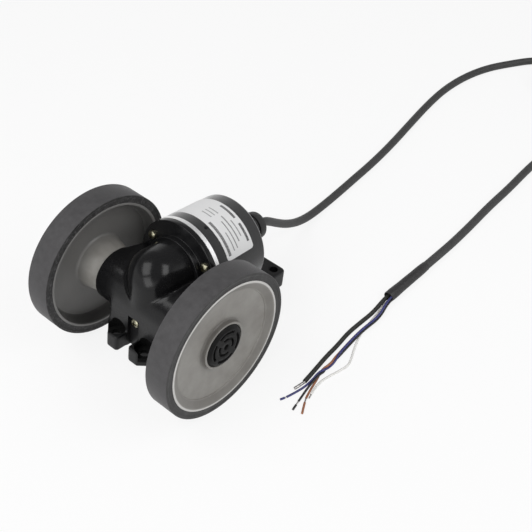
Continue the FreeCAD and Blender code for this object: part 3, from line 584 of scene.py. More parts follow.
def rod(name, spot, start, end, radius, way=ORIGIN, steps=64):
    """A closed rod along an axis, moved aside by millimetres."""
    piece = turned(name, spot, [(start, 0.0), (start, radius), (end, radius), (end, 0.0)], steps)
    shift(piece, way)
    return piece


def round_uprights(piece, width, segments, wanted):
    """Bevels the upright edges of a box whose middle is wanted."""
    def upright_edge(edge):
        a, b = (vertex.co / MM for vertex in edge.verts)
        return abs(a.z - b.z) > NEAR and wanted((a + b) / 2)

    with editing(piece):
        pick(piece, "EDGE", upright_edge)
        bpy.ops.mesh.bevel(offset=width * MM, segments=segments, affect="EDGES")


# %% [markdown]
# The rough bodies overlap freely. The foot has its front corners cut off and its tail rounded. Two boxes are
# cut away from it, between the lugs and above them, with a Boolean modifier, and then deleted. The web is a
# box whose rear face is drawn in, so that it narrows from the tubes to the flange.

# %% Rough bodies
def combine(piece, tool, operation="DIFFERENCE"):
    """Cuts a tool away from a piece, or unites it with the piece, and deletes the tool."""
    apply_modifier(piece, "BOOLEAN", object=tool, operation=operation, solver="MANIFOLD")
    alone(tool)
    bpy.ops.object.delete()


tubes = rod("tubes", on_axle, -tube_end, tube_end, TUBE_RADIUS, steps=96)
dome = turned("dome", upright, [(0.0, 0.0), (0.0, TUBE_RADIUS)] + [
    (DOME_RISE + TUBE_RADIUS * sine, TUBE_RADIUS * cosine) for sine, cosine in quarter(DOME_STEPS)])
barrel = rod("barrel", on_shaft, 0.0, flange_front + PAST, TUBE_RADIUS, (0.0, 0.0, DOME_RISE - AXIS_RISE),
             steps=96)
block = box("block", (-BLOCK_HALF, -TUBE_RADIUS, foot_low), (BLOCK_HALF, flange_back, 0.0))
foot = box("foot", (-FOOT_HALF, foot_front, foot_low), (FOOT_HALF, foot_rear, foot_low + FOOT_THICK))
round_uprights(foot, FRONT_SLOPE, 1, lambda middle: middle.y < 0.0)
round_uprights(foot, TAIL_ROUND, 3, lambda middle: middle.y > foot_rear - NEAR)
combine(foot, box("between_lugs", (-SLOT_HALF, foot_front - PAST, foot_low - PAST),
                  (SLOT_HALF, -TUBE_RADIUS, 0.0)))
round_uprights(foot, TIP_ROUND, 4,
               lambda middle: middle.y < foot_front + NEAR and abs(middle.x) < SLOT_HALF + NEAR)
combine(foot, box("above_lugs", (-FOOT_HALF - PAST, foot_front - PAST, LUG_TOP),
                  (FOOT_HALF + PAST, -TUBE_RADIUS, 0.0)))
web = box("web", (-tube_end, 0.0, -TUBE_RADIUS), (tube_end, flange_front, TUBE_RADIUS))
with editing(web):
    pick(web, "FACE", lambda face: face.normal.y > 0.9)
    bpy.ops.transform.resize(value=(WEB_HALF / tube_end, 1.0, 1.0), center_override=ORIGIN)
rough_bodies = (tubes, dome, barrel, web, block, foot)
print("rough bodies:", len(rough_bodies))

# %% [markdown]
# Now the bodies become one. Joined, they still cross each other inside. The voxel remesh keeps only the outer
# skin, in half-millimetre cells, and the Smooth modifier takes the stair steps and the sharp edges off it.

# %% Pour the casting
def join(first, *others):
    """Joins pieces into the first."""
    alone(first)
    for other in others:
        other.select_set(True)
    bpy.ops.object.join()


join(*rough_bodies)
casting = tubes
casting.name = "gear_casting"
apply_modifier(casting, "REMESH", mode="VOXEL", voxel_size=VOXEL * MM)
apply_modifier(casting, "SMOOTH", factor=0.5, iterations=12)
print("casting skin:", len(casting.data.polygons), "faces")

# %% [markdown]
# The corner where the tubes run into the dome has a wider fillet than the rest. Its vertices are picked by
# their distance from both surfaces, and smoothed some more.

# %% Widen the fillet
FILLET_REACH = 2.8
FILLET_FROM, FILLET_TO = -2.0, 14.0


def in_fillet(vertex):
    x, y, z = vertex.co / MM
    off_tube = abs(math.hypot(y, z) - TUBE_RADIUS)
    off_upright = abs(math.hypot(x, min(y, 0.0)) - TUBE_RADIUS)
    return off_tube < FILLET_REACH and off_upright < FILLET_REACH and FILLET_FROM < z < FILLET_TO


with editing(casting):
    print("vertices in the fillet:", pick(casting, "VERT", in_fillet))
    bpy.ops.mesh.vertices_smooth(factor=0.5, repeat=18)

# %% [markdown]
# The flange and the shoulder before it are faced on a lathe, so they are turned bodies with crisp edges, and
# are united with the skin.

# %% Flange
shoulder_front = flange_front - SHOULDER_REACH
flange = turned("flange", on_shaft, [
    (shoulder_front, 0.0), (shoulder_front, SHOULDER_RADIUS), (flange_front, SHOULDER_RADIUS),
    (flange_front, flange_radius), (flange_back, flange_radius), (flange_back, 0.0)], steps=160)
soften(flange, width=0.3)
combine(casting, flange, "UNION")
print("casting with flange:", len(casting.data.polygons), "faces")

# %% [markdown]
# Machining comes next. Each tool is a closed body that is cut away with a Boolean modifier: the bores for
# the axle, the gears, the bearings and the encoder's spigot, the slot in the front, the four foot holes, the
# counterbores of the front two, with their round noses, and the three screw holes in the flange.

# %% Machine the casting
CHAMBER_RADIUS = 7.03
CHAMBER_FRONT = -8.0
SEAT_RADIUS = span("axle_bearing_outer_rings")[2][1]
SEAT_DEPTH = 9.0
SPIGOT_RADIUS = 16.0
FOOT_HOLE = 2.5
FRONT_HOLES = (10.2, -15.95)
TAIL_HOLES = (13.2, 77.7)
COUNTERBORE = 5.3
COUNTERBORE_FLOOR = -19.8
COUNTERBORE_TOP = -11.8
COUNTERBORE_NOSE = 4.4
NOSE_STEPS = 12
SCREW_CIRCLE = 20.6
SCREW_HOLE = 1.55
SLOT_SCREW = 270.0
SCREW_ANGLES = (30.0, 150.0, SLOT_SCREW)


def screw_way(angle):
    turn = math.radians(angle)
    return (SCREW_CIRCLE * math.cos(turn), 0.0, SCREW_CIRCLE * math.sin(turn))


tools = [
    rod("chamber_bore", on_axle, -tube_end - PAST, tube_end + PAST, CHAMBER_RADIUS),
    rod("shaft_bore", on_shaft, CHAMBER_FRONT, flange_back + PAST, CHAMBER_RADIUS),
    rod("spigot_bore", on_shaft, flange_back - SPIGOT_DEPTH, flange_back + PAST, SPIGOT_RADIUS),
    rod("seat_right", on_axle, tube_end - SEAT_DEPTH, tube_end + PAST, SEAT_RADIUS),
    rod("seat_left", on_axle, -tube_end - PAST, -tube_end + SEAT_DEPTH, SEAT_RADIUS),
    box("front_slot", (-SLOT_HALF, foot_front - PAST, foot_low - PAST), (SLOT_HALF, SLOT_BACK, SLOT_TOP))]
for across, along in (FRONT_HOLES, TAIL_HOLES):
    for side in (-1.0, 1.0):
        tools.append(rod("foot_hole", upright, foot_low - PAST, foot_low + FOOT_THICK + PAST, FOOT_HOLE,
                         (side * across, along, 0.0), steps=40))
nose = [(COUNTERBORE_TOP - COUNTERBORE_NOSE * (1.0 - sine), COUNTERBORE * cosine)
        for sine, cosine in quarter(NOSE_STEPS)]
for side in (-1.0, 1.0):
    cutter = turned("counterbore", upright,
                    [(COUNTERBORE_FLOOR, 0.0), (COUNTERBORE_FLOOR, COUNTERBORE)] + nose, steps=64)
    shift(cutter, (side * FRONT_HOLES[0], FRONT_HOLES[1], 0.0))
    tools.append(cutter)
for angle in SCREW_ANGLES:
    tools.append(rod("screw_hole", on_shaft, SLOT_BACK - PAST, flange_back + PAST, SCREW_HOLE,
                     screw_way(angle), steps=24))
for tool in tools:
    combine(casting, tool)
seat(casting, "housing", "housing", "gear_housing", smooth=38.0)

# %% [markdown]
# ## Screws
# The flange screws have low domed heads with a cross for the driver. Each is turned from its section, the
# cross is cut by two crossed bars, and the screw is moved to its hole. The two top ones sit on the flange.
# The lower one is long, and its head sits in the slot.

# %% Flange screws
HEAD_RADIUS = 2.6
HEAD_HEIGHT = 2.0
HEAD_CURVE = ((0.0, 0.0), (0.08, 1.0), (0.3, 1.9), (0.75, 2.4))
HEAD_EDGE = 0.3
SCREW_PLAY = 0.05
SHANK_RADIUS = SCREW_HOLE - SCREW_PLAY
CROSS_LENGTH = 3.2
CROSS_WIDTH = 0.75
CROSS_DEPTH = 1.1
screw_end = span("flange_screws")[1][1]


def flange_screw(name, head_seat, angle):
    """A screw whose head sits at a place along the shaft."""
    top = head_seat - HEAD_HEIGHT
    screw = turned(name, on_shaft, [(top + along, out) for along, out in HEAD_CURVE] + [
        (head_seat - HEAD_EDGE, HEAD_RADIUS), (head_seat, HEAD_RADIUS), (head_seat, SHANK_RADIUS),
        (screw_end, SHANK_RADIUS), (screw_end, 0.0)], steps=40)
    for long_x, long_z in ((CROSS_LENGTH, CROSS_WIDTH), (CROSS_WIDTH, CROSS_LENGTH)):
        combine(screw, box("cross", (-long_x / 2, top - PAST, AXIS_RISE - long_z / 2),
                           (long_x / 2, top + CROSS_DEPTH, AXIS_RISE + long_z / 2)))
    shift(screw, screw_way(angle))
    return screw


screws = [flange_screw(f"flange_screw_{i + 1}", SLOT_BACK if angle == SLOT_SCREW else flange_front, angle)
          for i, angle in enumerate(SCREW_ANGLES)]
join(*screws)
seat(screws[0], "housing", "screw", "flange_screws")

# %% [markdown]
# ## The encoder
# The encoder's metal base is turned bright, and its edge shows as a ring behind the flange. Its CAD solid is
# right as it is. Behind it sit a thin dark cover and a ribbed rubber boot. The cover narrows a little towards
# the back, so that it leaves its mould, and its rear edge is rounded.

# %% Cover
cover_front, cover_back = span("encoder_cover")[1]
COVER_RADIUS = 25.0
COVER_DRAFT = 0.6
COVER_WALL = 1.9
COVER_ROUND = 1.2
COVER_CHAMFER = 0.2
BOOT_NECK = 6.0
ROUND_STEPS = 5
cover_rim = COVER_RADIUS - COVER_DRAFT
cover_inside = cover_back - COVER_WALL
cover = turned("encoder_cover_shell", on_shaft, [
    (cover_front, COVER_RADIUS - COVER_WALL), (cover_front, COVER_RADIUS - COVER_CHAMFER),
    (cover_front + COVER_CHAMFER, COVER_RADIUS)] + [
    (cover_back - COVER_ROUND * (1.0 - sine), cover_rim - COVER_ROUND * (1.0 - cosine))
    for sine, cosine in quarter(ROUND_STEPS)] + [
    (cover_back, BOOT_NECK), (cover_inside, BOOT_NECK), (cover_inside, cover_rim - COVER_WALL),
    (cover_front, COVER_RADIUS - COVER_WALL)], steps=128)
seat(cover, "housing", "cover", "encoder_cover")

# %% [markdown]
# A paper label is wrapped over the top of the cover. It starts as one line along the cover's right side, spun
# through the label's angle. A vertex bevel cuts the corners round, and Solidify gives the paper its
# thickness, outwards.

# %% Label
label_front, label_back = span("label")[1]
LABEL_ANGLE = 130.0
LABEL_LIFT = 0.005
LABEL_THICK = 0.15
LABEL_CORNER = 1.7
LABEL_CELLS = 10
LABEL_STEPS = 34


def label_spot(share):
    """A place on the cover at the right edge of the label, by its share of the length."""
    along = label_front + (label_back - label_front) * share
    out = COVER_RADIUS - COVER_DRAFT * (along - cover_front) / (cover_back - cover_front) + LABEL_LIFT
    turn = math.radians(LABEL_ANGLE / 2)
    return Vector((out * math.sin(turn), along, AXIS_RISE + out * math.cos(turn))) * MM


AXES[label_spot] = AXES[on_shaft]
label = turned("label_paper", label_spot, [(i / LABEL_CELLS,) for i in range(LABEL_CELLS + 1)],
               steps=LABEL_STEPS, angle=LABEL_ANGLE)
with editing(label):
    pick(label, "VERT", lambda vertex: len(vertex.link_faces) == 1)
    bpy.ops.mesh.bevel(offset=LABEL_CORNER * MM, segments=4, affect="VERTICES")
    paper = bmesh.from_edit_mesh(label.data)
    middle = Vector(AXES[on_shaft][0])
    if sum(face.normal.dot(face.calc_center_median() - middle) for face in paper.faces) < 0.0:
        bpy.ops.mesh.select_all(action="SELECT")
        bpy.ops.mesh.flip_normals()
apply_modifier(label, "SOLIDIFY", thickness=LABEL_THICK * MM, offset=1.0)
seat(label, "housing", "label", "label")

# %% [markdown]
# The boot is moulded rubber. Grooves between its ribs let it bend with the cable, and inside the cover a
# flange keeps it from being pulled out. Its section is worked out rib by rib, turned, and softened. The
# outside droops a little under the cable's pull, so it is made apart from the flange and leaned.

# %% Boot
boot_flange_front = span("cable_boot")[1][0]
BOOT_FLANGE = 8.6
BOOT_COLLAR = (2.6, 8.4)
BOOT_RIBS = 6
BOOT_RIB = (1.5, 8.0)
BOOT_GROOVE = (1.0, 6.8)
BOOT_TIP_END = (3.7, 7.4)
BOOT_DROOP = 4.0
NECK_PLAY = 0.02
NECK_REACH = 0.3
neck_end = cover_back + NECK_REACH
boot_inside = turned("boot_flange", on_shaft, [
    (boot_flange_front, 0.0), (boot_flange_front, BOOT_FLANGE), (cover_inside, BOOT_FLANGE),
    (cover_inside, BOOT_NECK - NECK_PLAY), (neck_end, BOOT_NECK - NECK_PLAY), (neck_end, 0.0)],
    steps=64)
along = cover_back + BOOT_COLLAR[0]
boot_section = [(cover_back, 0.0), (cover_back, BOOT_COLLAR[1]), (along, BOOT_COLLAR[1])]
for _ in range(BOOT_RIBS):
    groove_end = along + BOOT_GROOVE[0]
    boot_section += [(along, BOOT_GROOVE[1]), (groove_end, BOOT_GROOVE[1]), (groove_end, BOOT_RIB[1])]
    along = groove_end + BOOT_RIB[0]
    boot_section.append((along, BOOT_RIB[1]))
boot_end = along + BOOT_TIP_END[0]
boot_section += [(boot_end, BOOT_TIP_END[1]), (boot_end, 0.0)]
boot = turned("cable_boot_moulding", on_shaft, boot_section, steps=72)
soften(boot, width=0.36)
pivot = Matrix.Translation(on_shaft(cover_back, 0.0))
boot.matrix_world = pivot @ Matrix.Rotation(math.radians(-BOOT_DROOP), 4, "X") @ pivot.inverted()
bpy.ops.object.transform_apply(location=True, rotation=True, scale=True)
join(boot, boot_inside)
seat(boot, "housing", "rubber", "cable_boot")

# %% [markdown]
# Heat-shrink sleeving covers the end of the jacket. It was shrunk with a hot-air gun, so it is not quite
# round or even: the section swells and narrows along its length, and its mouth stands a little open round
# the wires.

# %% Sleeve
MOUTH_RISE = 0.3
SLEEVE_START = Vector((70.5, 118.5, SLEEVE_RADIUS)) * MM
SLEEVE_END = Vector((69.0, 85.4, SLEEVE_RADIUS + MOUTH_RISE)) * MM
SLEEVE_HEEL = ((0.0, 0.0), (0.0, 2.45))
SLEEVE_SWELLS = (2.62, 2.78, 2.86, 2.84, 2.88, 2.93, 2.95, 3.0, 3.12, 3.2, 3.1)
SLEEVE_MOUTH = ((0.0, 3.0), (0.0, 2.6), (-4.0, 2.1), (-4.0, 0.0))
HEEL_ROUND, MOUTH_ROUND = 0.3, 0.2
sleeve_run = SLEEVE_END - SLEEVE_START
length = sleeve_run.length / MM
swell_step = (length - HEEL_ROUND - MOUTH_ROUND) / (len(SLEEVE_SWELLS) - 1)
sleeve_section = list(SLEEVE_HEEL)
sleeve_section += [(HEEL_ROUND + swell_step * i, swell) for i, swell in enumerate(SLEEVE_SWELLS)]
sleeve_section += [(length + along, out) for along, out in SLEEVE_MOUTH]
sleeve = turned("cable_sleeve_shrunk", on_line, sleeve_section, steps=48)
lie = Vector((0, 1, 0)).rotation_difference(sleeve_run).to_matrix().to_4x4()
seat(sleeve, "housing", "sleeve", "cable_sleeve", smooth=40.0, place=Matrix.Translation(SLEEVE_START) @ lie)
print(f"sleeve {length:.1f} mm long")

# %% [markdown]
# ## Finishes
# Every finish is worked out by nodes, so no picture files are needed. A small class adds them to a tree: what
# a node works on is a plain number or the socket of another node.

# %% Node helpers
def colour(red, green, blue):
    """A screen colour, 0 to 255, as the linear colour that shaders use."""
    parts = [value / 255.0 for value in (red, green, blue)]
    return [part / 12.92 if part <= 0.04045 else ((part + 0.055) / 1.055) ** 2.4 for part in parts] + [1.0]


class Nodes:
    """Adds nodes to one tree."""

    def __init__(self, tree):
        self.tree = tree

    def add(self, kind, sockets=None, **settings):
        """A node with its settings, and its sockets given a value or a link."""
        node = self.tree.nodes.new(kind)
        for key, value in settings.items():
            setattr(node, key, value)
        for key, value in (sockets or {}).items():
            if isinstance(value, bpy.types.NodeSocket):
                self.tree.links.new(value, node.inputs[key])
            else:
                node.inputs[key].default_value = value
        return node

    def calc(self, operation, *values):
        return self.add("ShaderNodeMath", dict(enumerate(values)), operation=operation).outputs[0]

    def times(self, first, second):
        return self.calc("MULTIPLY", first, second)

    def minus(self, first, second):
        return self.calc("SUBTRACT", first, second)

    def hypotenuse(self, first, second):
        return self.calc("SQRT", self.calc("ADD", self.times(first, first), self.times(second, second)))

    def upward(self, vector):
        """The Z part of a vector."""
        return self.add("ShaderNodeSeparateXYZ", {0: vector}).outputs["Z"]

    def remap(self, value, low, high, to_low=0.0, to_high=1.0):
        """A value stretched from one range to another, and held inside it."""
        return self.add("ShaderNodeMapRange", {"Value": value, "From Min": low, "From Max": high,
                                               "To Min": to_low, "To Max": to_high}).outputs[0]

    def spread(self, noise, to_low=0.0, to_high=1.0):
        """Noise, which keeps near its middle, stretched over a whole range."""
        return self.remap(noise, 0.3, 0.7, to_low, to_high)

    def band(self, value, start, full, fading, end):
        """A mask that comes in between two values and goes out between two more."""
        return self.times(self.remap(value, start, full), self.remap(value, end, fading))

    def noise(self, place, scale, detail, roughness, distortion=0.0):
        return self.add("ShaderNodeTexNoise", {"Vector": place, "Scale": scale, "Detail": detail,
                                               "Roughness": roughness, "Distortion": distortion}).outputs[0]

    def blend(self, mask, first, second):
        """One colour going over into another where a mask is white."""
        return self.add("ShaderNodeMix", {0: mask, 6: first, 7: second}, data_type="RGBA").outputs[2]

    def lay(self, base, mask, shade):
        """A shade laid over a colour where a mask is white."""
        return self.blend(mask, base, colour(*shade))

    def use(self, group, **sockets):
        """A group placed in this tree, with its sockets set or linked."""
        return self.add("ShaderNodeGroup", sockets, node_tree=group.tree).outputs


# %% [markdown]
# What several finishes share is a node group: a small tree with named inputs and outputs, built once and
# placed in each material with its own values.

# %% Group helper
class Group(Nodes):
    """A new node group with named sockets: Bench is a place, and all the others are numbers."""

    def __init__(self, name, inputs, outputs):
        super().__init__(bpy.data.node_groups.new(name, "ShaderNodeTree"))
        for in_out, labels in (("INPUT", inputs), ("OUTPUT", outputs)):
            for label in labels:
                kind = "NodeSocketVector" if label == "Bench" else "NodeSocketFloat"
                self.tree.interface.new_socket(label, in_out=in_out, socket_type=kind)
        self.given = self.add("NodeGroupInput").outputs

    def give(self, results):
        """Links what was worked out to the outputs of the group."""
        self.add("NodeGroupOutput", results)
        print("group", self.tree.name, "gives", ", ".join(results))


# %% [markdown]
# Most finishes ask the same question first: where on the bench is this point? One node group answers it, in
# millimetres, together with the distance from the axle and from the encoder's axis. A Mapping node of the
# Texture kind undoes the stance.

# %% Where on the bench
bench_group = Group("bench_place", (), ("Bench", "Axle radius", "Shaft radius", "Along", "Turn", "Across"))
spot = bench_group.add("ShaderNodeMapping", {
    "Vector": bench_group.add("ShaderNodeTexCoord").outputs["Object"], "Location": axle_at,
    "Rotation": (-tilt, 0.0, 0.0), "Scale": (MM, MM, MM)}, vector_type="TEXTURE").outputs[0]
x, y, z = bench_group.add("ShaderNodeSeparateXYZ", {0: spot}).outputs
rise = bench_group.minus(z, AXIS_RISE)
bench_group.give({
    "Bench": spot, "Axle radius": bench_group.hypotenuse(y, z), "Along": y, "Across": x,
    "Shaft radius": bench_group.hypotenuse(x, rise), "Turn": bench_group.calc("ARCTAN2", x, rise)})

# %% [markdown]
# Three more effects are shared. *Grain* is the fine unevenness of a moulded or painted skin. *Scuffs* are
# pale rubbed patches with a ragged edge. *Dust* lies on what faces up. Each is a group with its own amount
# and scale, so one effect suits rubber, paint and plastic.

# %% Grain, scuffs and dust
grain_group = Group("grain", ("Bench", "Scale", "Detail"), ("Height",))
given = grain_group.given
grain_group.give({"Height": grain_group.noise(given["Bench"], given["Scale"], given["Detail"], 0.55)})

scuff_group = Group("scuffs", ("Bench", "Scale", "Cover"), ("Mask",))
given = scuff_group.given
patch = scuff_group.noise(given["Bench"], given["Scale"], 4.0, 0.6, 0.6)
fleck = scuff_group.noise(given["Bench"], 2.2, 5.0, 0.7)
edge = scuff_group.times(scuff_group.minus(1.0, given["Cover"]), 1.5)
ragged = scuff_group.minus(scuff_group.calc("ADD", patch, scuff_group.times(fleck, 0.5)), edge)
scuff_group.give({"Mask": scuff_group.remap(ragged, -0.1, 0.25)})

dust_group = Group("dust", ("Bench", "Amount"), ("Mask",))
facing = dust_group.upward(dust_group.add("ShaderNodeNewGeometry").outputs["Normal"])
specks = dust_group.noise(dust_group.given["Bench"], 0.8, 6.0, 0.75)
settled = dust_group.times(dust_group.remap(facing, 0.2, 1.0), dust_group.remap(specks, 0.35, 0.75))
dust_group.give({"Mask": dust_group.times(settled, dust_group.given["Amount"])})

# %% [markdown]
# A finish is a material with its own shader. A few sockets get plain values, and sheen is one of them: the
# fine skin of rubber or plastic catches light where it is seen at a low angle. The rest is linked.

# %% Material helpers
SHEEN_ROUGHNESS = 0.4


class Finish(Nodes):
    """A new material that knows the place on the bench."""

    def __init__(self, name, specular=0.5, metallic=0.0, sheen=0.0):
        self.material = bpy.data.materials.new(name)
        self.material.use_nodes = True
        super().__init__(self.material.node_tree)
        self.shader = self.tree.nodes["Principled BSDF"].inputs
        self.shader["Specular IOR Level"].default_value = specular
        self.shader["Metallic"].default_value = metallic
        self.shader["Sheen Weight"].default_value = sheen
        self.shader["Sheen Roughness"].default_value = SHEEN_ROUGHNESS
        self.place = self.use(bench_group)

    def side(self):
        """How far a point lies from the middle, to the right or to the left."""
        return self.calc("ABSOLUTE", self.place["Across"])

    def grain(self, scale, detail):
        return self.use(grain_group, Bench=self.place["Bench"], Scale=scale, Detail=detail)["Height"]

    def shades(self, noise, low, high):
        """Noise as a colour between two shades."""
        return self.blend(self.spread(noise), colour(*low), colour(*high))

    def dust(self, base, amount, shade):
        return self.lay(base, self.use(dust_group, Bench=self.place["Bench"], Amount=amount)["Mask"], shade)

    def finish(self, base, roughness, height, depth):
        """Links a colour, a roughness and a bump of a depth in millimetres to the shader."""
        bump = self.add("ShaderNodeBump", {"Height": height, "Distance": depth * MM, "Strength": 1.0})
        for socket, value in (("Base Color", base), ("Roughness", roughness), ("Normal", bump.outputs[0])):
            self.tree.links.new(value, self.shader[socket])

    def dress(self, *pieces):
        """Gives pieces, or CAD nodes by name, this material."""
        for piece in pieces:
            mesh = nodes[piece].data if isinstance(piece, str) else piece.data
            mesh.materials.clear()
            mesh.materials.append(self.material)
        print(self.material.name, "on", len(pieces))


# %% [markdown]
# Tyre rubber is a grey-black that wears pale. The tread has been ground, so it is lighter and even. The side
# walls keep smears from handling, and the inner ones crumbs of rubber that no one wipes off. The distance
# from the axle tells tread from wall.

# %% Tyre rubber
rubber = Finish("tyre_rubber", specular=0.3, sheen=0.12)
tread = rubber.remap(rubber.place["Axle radius"], wheel_radius - 0.35, wheel_radius - 0.12)
outside = rubber.remap(rubber.side(), wheel_in + 3.0, wheel_out - 3.0)
smears = rubber.use(scuff_group, Bench=rubber.place["Bench"], Scale=0.12, Cover=0.45)["Mask"]
mottle = rubber.grain(0.3, 6.0)
crumbs = rubber.remap(rubber.grain(0.75, 5.0), 0.54, 0.64)
crumbs = rubber.times(crumbs, rubber.minus(0.55, rubber.times(outside, 0.45)))
wall = rubber.blend(outside, colour(32, 32, 32), colour(45, 45, 45))
wall = rubber.lay(wall, rubber.times(rubber.remap(mottle, 0.35, 0.7), 0.6), (68, 67, 67))
wall = rubber.lay(wall, rubber.times(smears, 0.2), (120, 119, 118))
wall = rubber.lay(wall, crumbs, (92, 91, 92))
ground = rubber.shades(mottle, (62, 61, 62), (76, 75, 76))
base = rubber.blend(tread, wall, ground)
rubber.finish(base, rubber.spread(mottle, 0.55, 0.75), rubber.grain(3.2, 3.0), 0.05)
rubber.dress(*tyres)

# %% [markdown]
# The discs are die castings with a warm grey lacquer. The lacquer has the faint orange-peel of spraying and a
# few darker clouds. Shade is painted on the sloped band and on the wall of the hub, and a painted highlight
# makes the lip of the rim pale. The inner sides are painted darker from the boss outwards, as painted shade,
# and darkest at the foot of the cone.

# %% Disc lacquer
lacquer = Finish("disc_lacquer", specular=0.45)
clouds = lacquer.grain(0.12, 5.0)
away = lacquer.place["Axle radius"]
inside = lacquer.remap(lacquer.side(), web_inside + 1.4, web_inside + 0.8)
slope_shade = lacquer.band(away, band_foot + 0.1, band_foot + 0.7, band_top - 0.9, band_top)
hub_wall_shade = lacquer.times(lacquer.minus(0.75, inside), lacquer.band(
    away, HUB_LIP_RADIUS - 0.3, HUB_LIP_RADIUS - 0.05, HUB_LIP_RADIUS + 0.3, HUB_LIP_RADIUS + 1.5))
inner_side_shade = lacquer.times(inside, lacquer.remap(away, BOSS_ROOT - 1.5, BOSS_ROOT + 0.5))
cone_foot = inside_rim - RIM_WALL
cone_shade = lacquer.times(inside, lacquer.remap(away, cone_foot - 0.6, cone_foot + 0.6))
inner_lip_highlight = lacquer.times(inside, lacquer.remap(away, inside_rim + 0.2, inside_rim + 0.5))
lip_highlight = lacquer.calc("MAXIMUM", lacquer.remap(away, band_top - 0.2, band_top + 0.2), inner_lip_highlight)
edge_highlight = lacquer.blend(inside, colour(214, 213, 210), colour(128, 127, 125))
base = lacquer.shades(clouds, (128, 125, 120), (146, 144, 139))
# Painted shade: the sloped band and the wall of the hub are darkened.
base = lacquer.lay(base, lacquer.calc("MAXIMUM", lacquer.times(slope_shade, 0.45), hub_wall_shade), (96, 93, 89))
# Painted shade: the inner side is darker from the boss outwards.
base = lacquer.lay(base, inner_side_shade, (105, 104, 102))
# Painted shade: darkest at the foot of the inner cone.
base = lacquer.lay(base, lacquer.times(cone_shade, 0.8), (64, 63, 62))
# Painted highlight: the lip of the rim is pale, less so on the inner side.
base = lacquer.blend(lacquer.times(lip_highlight, 0.85), base, edge_highlight)
lacquer.finish(base, lacquer.spread(clouds, 0.36, 0.5), lacquer.grain(1.6, 2.0), 0.02)
lacquer.dress(*discs)

# %% [markdown]
# The caps are a dull black plastic, a little uneven in its shade as mouldings are. A trace of dust lies on
# what faces up.

# %% Cap plastic
plastic = Finish("cap_plastic", specular=0.1)
clouds = plastic.grain(0.3, 4.0)
base = plastic.dust(plastic.shades(clouds, (14, 14, 14), (22, 22, 22)), 0.06, (120, 118, 114))
plastic.finish(base, plastic.spread(clouds, 0.4, 0.55), plastic.grain(4.0, 2.0), 0.02)
plastic.dress(*caps)

# %% [markdown]
# The casting is stove-enamelled black. Enamel flows before it sets, so the dome shines with a soft wave in
# the reflections, while the flat foot keeps more of the sand's roughness. The distance below the axle leads
# from one to the other. The counterbores are painted near black, as painted shade, and made rough.

# %% Casting enamel
enamel = Finish("casting_enamel", specular=0.25)
wave = enamel.grain(0.35, 2.0)
sand = enamel.grain(1.5, 4.0)
height_up = enamel.upward(enamel.place["Bench"])
foot_zone = enamel.remap(height_up, -6.0, -13.0)
off_hole = enamel.hypotenuse(enamel.minus(enamel.side(), FRONT_HOLES[0]),
                             enamel.minus(enamel.place["Along"], FRONT_HOLES[1]))
nose_rise = enamel.calc("MAXIMUM", enamel.minus(height_up, COUNTERBORE_TOP - COUNTERBORE_NOSE), 0.0)
cutter_edge = enamel.hypotenuse(enamel.calc("DIVIDE", off_hole, COUNTERBORE),
                                enamel.calc("DIVIDE", nose_rise, COUNTERBORE_NOSE))
recess_shade = enamel.times(enamel.remap(cutter_edge, 1.04, 1.01),
                      enamel.remap(height_up, COUNTERBORE_FLOOR - 3.0, COUNTERBORE_FLOOR - 2.0))
base = enamel.blend(enamel.remap(sand, 0.3, 0.75), colour(17, 17, 18), colour(21, 21, 22))
# Painted shade: the counterbores are near black.
base = enamel.dust(enamel.lay(base, recess_shade, (3, 3, 3)), 0.03, (110, 109, 108))
gloss = enamel.add("ShaderNodeMix", {0: foot_zone, 2: enamel.spread(wave, 0.16, 0.23),
                                     3: enamel.spread(sand, 0.34, 0.5)}, data_type="FLOAT").outputs[0]
skin_height = enamel.calc("ADD", wave, enamel.times(sand, enamel.times(foot_zone, 0.5)))
enamel.finish(base, enamel.calc("MAXIMUM", gloss, recess_shade), skin_height, 0.05)
enamel.dress(casting)

# %% [markdown]
# ## Metals
# Bright metal is mostly reflection. What tells one metal from another is its tint and the marks of its
# making: rings from the lathe on the base, and a soft yellowish plating on the screws. A group makes fine
# rings from any distance.

# %% Lathe rings
ring_group = Group("lathe_rings", ("Distance", "Scale"), ("Height",))
given = ring_group.given
ring_group.give({"Height": ring_group.add(
    "ShaderNodeTexNoise", {"W": given["Distance"], "Scale": given["Scale"], "Detail": 3.0},
    noise_dimensions="1D").outputs[0]})


def metal(name, low, high, roughness, ring_distance="Axle radius", ring_scale=4.0):
    """A metal with lathe rings, between two tints."""
    bar = Finish(name, metallic=1.0)
    rings = bar.use(ring_group, Distance=bar.place[ring_distance], Scale=ring_scale)["Height"]
    base = bar.shades(bar.grain(0.5, 5.0), low, high)
    bar.finish(base, bar.spread(rings, roughness, roughness + 0.14), rings, 0.01)
    return bar


turned_metal = metal("turned_aluminium", (238, 238, 238), (250, 250, 250), 0.42, "Along", 6.0)
screw_plate = metal("screw_plating", (118, 115, 97), (160, 157, 136), 0.22, "Shaft radius")
black_steel = metal("blackened_steel", (38, 38, 40), (56, 56, 58), 0.4, "Across")
ground_steel = metal("ground_steel", (168, 168, 170), (196, 196, 198), 0.24, "Across")
gear_steel = metal("cut_steel", (120, 120, 124), (158, 158, 160), 0.34)
turned_brass = metal("turned_brass", (186, 152, 84), (212, 180, 110), 0.28, "Along")
tin = metal("tinned_strands", (150, 148, 146), (186, 184, 182), 0.32, "Along", 1.2)
turned_metal.dress("encoder_base")
screw_plate.dress(screws[0])
black_steel.dress("cover_screws")

# %% [markdown]
# ## Plastics and paper
# The cover is a dark grey moulding with a fine leathery skin, and a painted highlight along its rear edge.
# Seen at a low angle, its top looks paler, by its sheen. The boot and the cable are softer and duller. Each
# takes the grain and the dust at its own scale.

